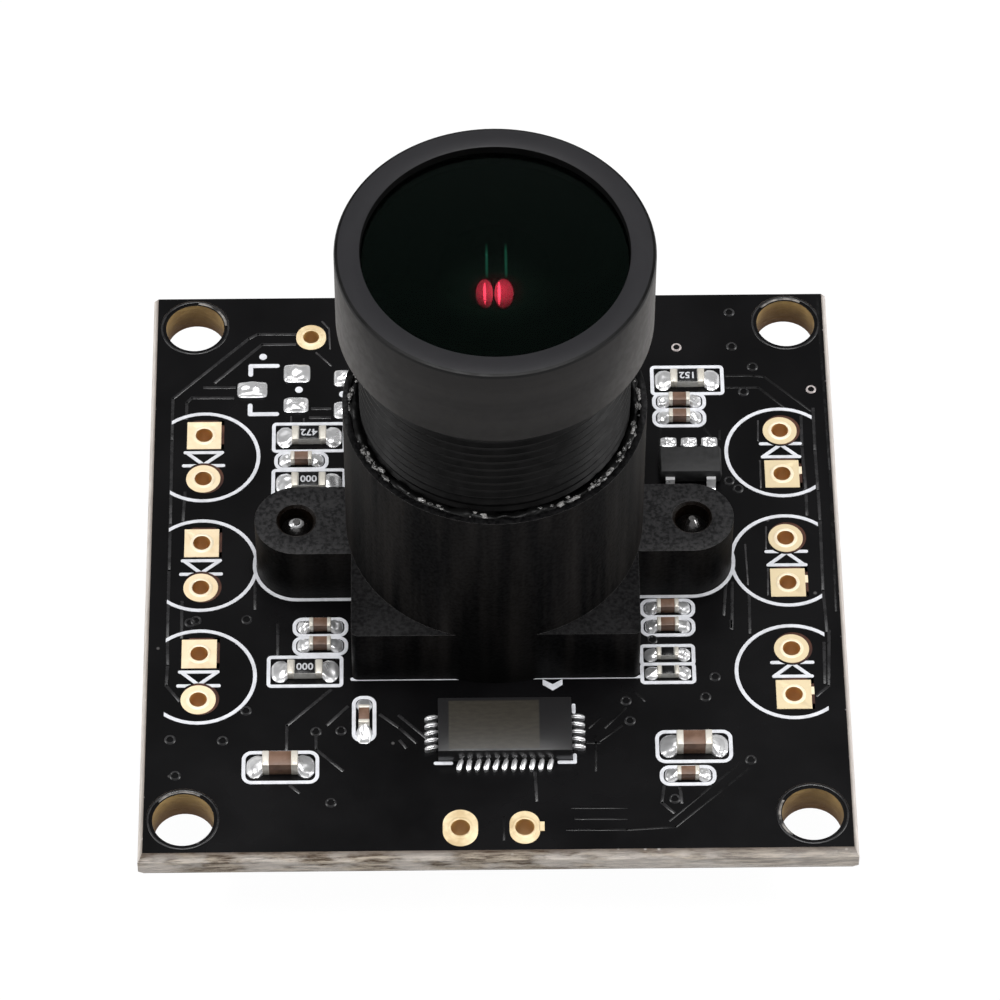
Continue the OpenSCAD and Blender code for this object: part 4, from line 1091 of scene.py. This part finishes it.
# plain numbers on the larger resistors, printed across the coat
marks = {"resistor_rear_left": "472", "resistor_rear_right": "152",
         "resistor_ear_left": "000", "resistor_front_left": "000"}
markLook = {"size": 0.52, "swell": 0.012, "height": 0.004, "turn": 180}


def makeMark(node, text):
    look = markLook
    lo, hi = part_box(node)
    curve = bpy.data.curves.new("mark", "FONT")
    curve.body = text
    curve.align_x = "CENTER"
    curve.align_y = "CENTER"
    curve.size = look["size"] * mm
    curve.offset = look["swell"] * mm
    curve.extrude = look["height"] * mm
    curve.resolution_u = 3
    holder = bpy.data.objects.new("mark", curve)
    bpy.context.scene.collection.objects.link(holder)
    bpy.context.view_layer.update()
    solved = holder.evaluated_get(bpy.context.evaluated_depsgraph_get())
    mesh = bpy.data.meshes.new_from_object(solved)
    bpy.data.objects.remove(holder)
    bm = bmesh.new()
    bm.from_mesh(mesh)
    bpy.data.meshes.remove(mesh)
    turn = Matrix.Rotation(math.radians(look["turn"]), 3, "Z")
    bmesh.ops.rotate(bm, cent=(0, 0, 0), matrix=turn, verts=bm.verts[:])
    bmesh.ops.translate(bm, vec=((lo.x + hi.x) / 2, (lo.y + hi.y) / 2, hi.z), verts=bm.verts[:])
    finishPiece(bm, nameOf(node) + "Number", partInk)


for node, text in marks.items():
    makeMark(node, text)
print("chip parts made")

# chips, crystal, socket and sensor

terminalLook = {"cuts": 6, "turn": {"front": -13, "left": 16, "right": -6, "rear": 0}, "uneven": 5,
                "grow": {"front": 1.04, "left": 1.04, "right": 1.04, "rear": 0.45}}


def solidsOf(node):
    # the box of each separate solid of a node
    bm = bmesh.new()
    bm.from_mesh(nodes[node].data)
    bmesh.ops.remove_doubles(bm, verts=bm.verts[:], dist=0.0005 * mm)
    bm.verts.index_update()
    seen = [False] * len(bm.verts)
    boxes = []
    for start in bm.verts:
        if seen[start.index]:
            continue
        seen[start.index] = True
        queue, found = [start], []
        while queue:
            vert = queue.pop()
            found.append(vert.co.copy())
            for edge in vert.link_edges:
                other = edge.other_vert(vert)
                if not seen[other.index]:
                    seen[other.index] = True
                    queue.append(other)
        boxes.append([Vector(pick(c[i] for c in found) for i in range(3)) for pick in (min, max)])
    bm.free()
    return boxes


def makeTerminals():
    # each terminal of the processor is a small rounded bar of solder
    look = terminalLook
    draw = random.Random(7)
    bodyLo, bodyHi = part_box("processor_body")
    bm = bmesh.new()
    for lo, hi in solidsOf("processor_terminals"):
        center, size = (lo + hi) / 2, hi - lo
        if abs(center.x - (bodyLo.x + bodyHi.x) / 2) > (bodyHi.x - bodyLo.x) / 2 - 0.05 * mm:
            where = "left" if center.x < bodyLo.x + mm else "right"
        else:
            where = "front" if center.y < bodyLo.y + mm else "rear"
        part = gridCube(look["cuts"])
        for v in part.verts:
            a, b, c = v.co
            long, short = (a, b) if size.x > size.y else (b, a)
            taper = math.sqrt(max(0.05, 1 - max(0.0, abs(long) - 0.55) ** 2 / 0.22))
            narrow = taper * (0.86 - 0.2 * max(0.0, c) ** 2)
            x, y = (a, b * narrow) if size.x > size.y else (a * narrow, b)
            grow = look["grow"][where]
            rise = size.z * min(grow, 1) * (1 - 0.22 * short * short - 0.18 * long * long)
            v.co = Vector((x * size.x / 2 * grow, y * size.y / 2 * grow, rise if c > 0 else 0))
        turn = look["turn"][where] + draw.uniform(-1, 1) * look["uneven"]
        place = Matrix.Translation((center.x, center.y, lo.z)) @ Matrix.Rotation(math.radians(turn), 4, "Z")
        bmesh.ops.transform(part, matrix=place, verts=part.verts[:])
        stampOnto(bm, part)
    finishPiece(bm, "processorTerminals", solder, ("processor_terminals",), 60.0)


regulatorDrop = 0.2  # mm, how much lower its case is than its node


def makeRegulator():
    lo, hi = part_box("regulator_body")
    piece = softenNode("regulator_body", chipBlack, 0.03)
    for vert in piece.data.vertices:
        if vert.co.z > (lo.z + hi.z) / 2:
            vert.co.z -= regulatorDrop * mm


processorLo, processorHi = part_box("processor_body")
processorBlack = processorMaterial((processorLo + processorHi) / 2)
softenNode("processor_body", processorBlack, 0.03)
makeTerminals()
makeRegulator()
softenNode("memory_body", chipBlack, 0.05)
softenNode("socket_housing", nylon, 0.05)
dressed = {
    "regulator_leads": tinned, "memory_leads": tinned, "crystal": nickel, "socket_contacts": brass,
    "socket_anchors": tinned, "sensor_package": ceramicBlack, "sensor_die": silicon,
    "sensor_cover_glass": coverGlass,
}
for node, material in dressed.items():
    dressNode(node, material)
print("chips dressed")

# lens holder and its screws

screwLo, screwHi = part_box("holder_screws")
screwX = screwHi.x - (screwHi.y - screwLo.y) / 2
holderBlack = holderMaterial(screwX, (screwLo.y + screwHi.y) / 2)
softenNode("lens_holder", [holderBlack, holderEdge], 0.05, 42.0, 2, dissolve=False)
dressNode("holder_screws", steel)

screwLook = {
    "shankR": 0.78, "point": 0.7, "pitch": 0.5, "depth": 0.13, "steps": 24,
    "tips": {"Left": 0.36, "Right": 0.25}, "tipDrop": 0.13, "tipHeight": 0.12,  # mm, the points, brighter in solder's colour as a painted highlight
}


def makeScrewThread(side, label):
    look = screwLook
    shankR, point, pitch = look["shankR"] * mm, look["point"] * mm, look["pitch"] * mm
    core, crest = shankR - look["depth"] * mm, shankR + 0.02 * mm
    top = screwHi.z
    bm = bmesh.new()
    ridge = [(core, 0.0), (crest, 0.09 * mm), (crest, 0.12 * mm), (core, 0.24 * mm)]
    spinThread(bm, ridge, 0.0, pitch, (top - point * 0.4) / pitch, look["steps"])
    for v in bm.verts:  # the ridge runs out into the point
        over = v.co.z - (top - point)
        if over > 0:
            shrink = max(0.2, 1 - over / point)
            v.co.x *= shrink
            v.co.y *= shrink
        v.co.z = min(v.co.z, top - 0.02 * mm)
    part = bmesh.new()
    bmesh.ops.create_icosphere(part, subdivisions=2, radius=1.0)
    wide = look["tips"][label]
    size = Matrix.Diagonal((wide * mm, 0.8 * wide * mm, look["tipHeight"] * mm, 1))
    tip = Matrix.Translation((0, 0, top - look["tipDrop"] * mm)) @ size
    bmesh.ops.transform(part, matrix=tip, verts=part.verts[:])
    # the points take the brighter solder as a painted highlight
    for face in part.faces:
        face.material_index = 1
    stampOnto(bm, part)
    bmesh.ops.translate(bm, vec=(side * screwX, 0, 0), verts=bm.verts[:])
    finishPiece(bm, "screwThread" + label, [steel, solder], (), 40.0)


makeScrewThread(-1, "Left")
makeScrewThread(1, "Right")

# lens barrel

barrelLook = {
    "headHeight": 4.57, "frontR": 5.79, "seat": 2.05, "edge": 0.16, "innerEdge": 0.10, "steps": 128,  # mm
    "neckR": 6.0, "mouthR": 4.22, "ledge": 0.5, "ledgeHeight": 0.52, "neckFaces": 5.4,
    "thread": (12.4, 0.35),  # where the thread starts, and the gap above it
    "pitch": 0.5, "depth": 0.13, "threadSteps": 96,
}


def makeBarrel():
    look = barrelLook
    lo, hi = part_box("lens_barrel")
    headR, neckR, frontR = hi.x, look["neckR"] * mm, look["frontR"] * mm
    headBottom, seat = hi.z - look["headHeight"] * mm, hi.z - look["seat"] * mm
    edge, inner = look["edge"] * mm, look["innerEdge"] * mm
    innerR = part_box("second_glass")[1].x + 0.02 * mm
    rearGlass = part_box("rear_glass")
    rearR, rearZ = rearGlass[1].x + 0.02 * mm, rearGlass[0].z
    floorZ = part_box("rear_spacer")[0].z
    mouthR, ledgeR, ledgeZ = look["mouthR"] * mm, rearR - look["ledge"] * mm, lo.z + look["ledgeHeight"] * mm
    root = neckR - look["depth"] * mm
    bm = bmesh.new()
    profile = [
        (frontR, seat), (frontR, hi.z - inner), (frontR + inner * 0.3, hi.z - inner * 0.3),
        (frontR + inner, hi.z), (headR - edge, hi.z), (headR - edge * 0.3, hi.z - edge * 0.3),
        (headR, hi.z - edge), (headR, headBottom + edge), (headR - edge, headBottom),
        (root + 0.02 * mm, headBottom), (root, headBottom - 0.05 * mm), (root, lo.z + 0.3 * mm),
        (root - 0.3 * mm, lo.z), (mouthR, lo.z), (mouthR, ledgeZ), (ledgeR, ledgeZ), (ledgeR, rearZ),
        (rearR, rearZ), (rearR, floorZ), (innerR, floorZ), (innerR, seat),
    ]
    spinProfile(bm, profile, look["steps"])
    # the lens thread climbs the neck up to the head
    pitch, sunk, shoulder = look["pitch"] * mm, root - 0.04 * mm, neckR - 0.03 * mm
    start, stop = look["thread"][0] * mm, headBottom - look["thread"][1] * mm
    ridge = [(sunk, 0.0), (shoulder, 0.19 * mm), (neckR, 0.22 * mm), (neckR, 0.27 * mm),
             (shoulder, 0.30 * mm), (sunk, 0.49 * mm)]
    spinThread(bm, ridge, start, pitch, (stop - start) / pitch, look["threadSteps"])
    for face in bm.faces:
        middle = face.calc_center_median()
        reach = math.hypot(middle.x, middle.y)
        bevelled = middle.z > hi.z - edge and reach > headR - edge
        if bevelled or (middle.z < headBottom - 0.01 * mm and reach > look["neckFaces"] * mm):
            face.material_index = 1
        elif reach < frontR + 0.02 * mm:
            face.material_index = 2
    finishPiece(bm, "lensBarrel", [anodised, neckBlack, innerBlack], ("lens_barrel",), 30.0)


makeBarrel()

# glue at the rim

glueLook = {
    "ringR": 6.24, "drop": 0.30, "radius": 0.24, "uneven": 0.19, "steps": 240, "sides": 12,  # mm
    "beads": 96, "beadR": (0.035, 0.10), "away": (6.2, 6.46), "sink": (0.0, 0.12),  # mm
    "long": (1.0, 2.6), "tall": (0.5, 1.0), "spread": 5,
    # most beads stand at the front left and at the right, at these angles in degrees
    "places": (-152, -146, -118, -96, -62, -52, -44, -34, -24, -12, 4, 176, 168, 120),
}


def makeGlue():
    look = glueLook
    draw = random.Random(4)
    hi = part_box("thread_adhesive")[1]
    ringR, ringZ, radius = look["ringR"] * mm, hi.z - look["drop"] * mm, look["radius"] * mm
    bm = bmesh.new()
    angles = [math.tau * i / look["sides"] for i in range(look["sides"])]
    points = [(ringR + radius * math.cos(angle), ringZ + radius * math.sin(angle)) for angle in angles]
    spinProfile(bm, points, look["steps"])
    for v in bm.verts:
        turn = math.atan2(v.co.y, v.co.x)
        lump = noise.noise(Vector((math.cos(turn) * 4.2, math.sin(turn) * 4.2, 3.0)))
        fine = noise.noise(Vector((math.cos(turn) * 15, math.sin(turn) * 15, v.co.z / mm * 4)))
        core = Vector((math.cos(turn) * ringR, math.sin(turn) * ringR, ringZ))
        v.co += (v.co - core) * (lump * 0.8 + fine * 0.8) * look["uneven"] / look["radius"]
    for i in range(look["beads"]):
        turn = math.radians(draw.choice(look["places"]) + draw.gauss(0, look["spread"]))
        size = draw.uniform(*look["beadR"]) * mm
        away = draw.uniform(*look["away"]) * mm
        long, tall = draw.uniform(*look["long"]), draw.uniform(*look["tall"])
        rest = Matrix.Translation((away, 0, hi.z - draw.uniform(*look["sink"]) * mm))
        part = bmesh.new()
        bmesh.ops.create_icosphere(part, subdivisions=3, radius=1.0)
        for v in part.verts:
            v.co *= 1 + 0.6 * noise.noise(v.co * 1.9 + Vector((i * 3.1, 0, 0)))
            v.co = Vector((v.co.x * size, v.co.y * size * long, v.co.z * size * tall))
        bmesh.ops.transform(part, matrix=Matrix.Rotation(turn, 4, "Z") @ rest, verts=part.verts[:])
        for face in part.faces:
            face.material_index = 1
        stampOnto(bm, part)
    finishPiece(bm, "threadGlue", [glueBody, glueBead], ("thread_adhesive",), 80.0)


makeGlue()

# glasses

glassLook = {"faceR": 60, "inset": 0.02, "disc": (0.005, 0.02), "steps": 160}  # mm


def spinGlass(name, points, material, replaces=()):
    bm = bmesh.new()
    spinProfile(bm, points, glassLook["steps"], closed=False)
    finishPiece(bm, name, material, replaces, 40.0)


def makeFrontGlass():
    # a clear plate over the coated dome of the glass's dark inside, painted near black as shade, which stands
    # on a thin disc
    look = glassLook
    lo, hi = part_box("front_glass")
    rim, face = hi.x, look["faceR"] * mm
    points = arcPoints(hi.z - face, face, 0, rim, 40) + [(rim, lo.z), (0, lo.z)]
    spinGlass("frontGlass", points, frontGlass, ("front_glass",))
    curve, rise = depthLook["curve"] * mm, depthLook["rise"] * mm
    foot = math.sqrt(curve ** 2 - (curve - rise) ** 2)
    edge = rim - look["inset"] * mm
    low, high = (lo.z + z * mm for z in look["disc"])
    points = arcPoints(high - (curve - rise), curve, 0, foot, 48) + [(edge, high), (edge, low), (0, low)]
    spinGlass("lensDepth", points, redCoat)


makeFrontGlass()
insides = {
    "second_glass": greenCoat, "third_glass": greenCoat, "rear_glass": greenCoat,
    "infrared_filter": filterGlass, "spacer_ring": innerBlack, "aperture_stop": innerBlack,
    "rear_spacer": innerBlack,
}
for node, material in insides.items():
    dressNode(node, material)
print("lens made")

# floor, world and lamps

studio = {
    "floor": 0.62, "floorSize": 6, "floorGlow": 0.92, "glowStrength": 1.06,  # the size in metres
    "fill": 0.12, "horizon": 1.0, "ceiling": 0.2, "turn": (0.12, 0.3),
    "overhead": [  # place over the lens, width and depth in mm, radiance
        (-98, -8, 500, 160, 330, 6.1), (82, -8, 500, 176, 330, 6.1),
        (-92, -8, 494, 26, 250, 21.0), (36, -8, 494, 26, 250, 21.0),
    ],
    "sides": [(-470, -60, 190, 300, 300, 3.2), (470, -60, 190, 300, 300, 4.2)],
}


def seenDirectly(tree):
    # 1 for what the camera sees, straight or in a mirror or through glass
    path = addNode(tree, "ShaderNodeLightPath")
    total = math2(tree, "ADD", path.outputs["Is Camera Ray"], path.outputs["Is Glossy Ray"])
    return math2(tree, "ADD", total, path.outputs["Is Transmission Ray"], clamp=True)


def makeFloor():
    lowest = min(corner[2] for corner in cadBox)
    bpy.ops.mesh.primitive_plane_add(size=studio["floorSize"], location=(0, 0, lowest - 0.0001))
    floor = bpy.context.object
    floor.name = "floor"
    material, tree, shader = newMaterial("paleFloor")
    shader.inputs["Base Color"].default_value = (studio["floor"],) * 3 + (1,)
    shader.inputs["Roughness"].default_value = 0.9
    shader.inputs["Specular IOR Level"].default_value = 0.0
    glow = addNode(tree, "ShaderNodeEmission")
    glow.inputs["Strength"].default_value = studio["glowStrength"]
    both = addNode(tree, "ShaderNodeMixShader")
    tree.links.new(math2(tree, "MULTIPLY", seenDirectly(tree), studio["floorGlow"]), both.inputs[0])
    tree.links.new(shader.outputs[0], both.inputs[1])
    tree.links.new(glow.outputs[0], both.inputs[2])
    tree.links.new(both.outputs[0], tree.nodes["Material Output"].inputs["Surface"])
    floor.data.materials.append(material)


def makeWorld():
    # a white surround up to the eye's height, under a dark ceiling
    world = bpy.data.worlds.new("studioWorld")
    bpy.context.scene.world = world
    world.use_nodes = True
    tree = world.node_tree
    up = splitXYZ(tree, addNode(tree, "ShaderNodeTexCoord").outputs["Generated"])["Z"]
    shown = stretch(tree, up, *studio["turn"], studio["horizon"], studio["ceiling"])
    strength = addNode(tree, "ShaderNodeMix", data_type="FLOAT")
    tree.links.new(seenDirectly(tree), strength.inputs["Factor"])
    strength.inputs["A"].default_value = studio["fill"]
    tree.links.new(shown, strength.inputs["B"])
    tree.links.new(strength.outputs["Result"], tree.nodes["Background"].inputs["Strength"])
    tree.nodes["Background"].inputs["Color"].default_value = (1, 1, 1, 1)


def makeLamps():
    target = Vector((0, 0, 10 * mm))
    lamps = [(*lamp, True) for lamp in studio["overhead"]] + [(*lamp, False) for lamp in studio["sides"]]
    for i, (x, y, z, w, h, radiance, down) in enumerate(lamps):
        data = bpy.data.lights.new(f"panel{i}", "AREA")
        data.shape = "ELLIPSE" if down else "RECTANGLE"
        data.size, data.size_y = w * mm, h * mm
        data.energy = radiance * math.pi * w * h * mm * mm * (math.pi / 4 if down else 1)
        lamp = bpy.data.objects.new(f"panel{i}", data)
        bpy.context.scene.collection.objects.link(lamp)
        lamp.location = Vector((x, y, z)) * mm
        if not down:
            lamp.rotation_mode = "QUATERNION"
            lamp.rotation_quaternion = (target - lamp.location).to_track_quat("-Z", "Y")


makeFloor()
makeWorld()
makeLamps()
bpy.context.scene.view_settings.view_transform = "Standard"
print("studio made")
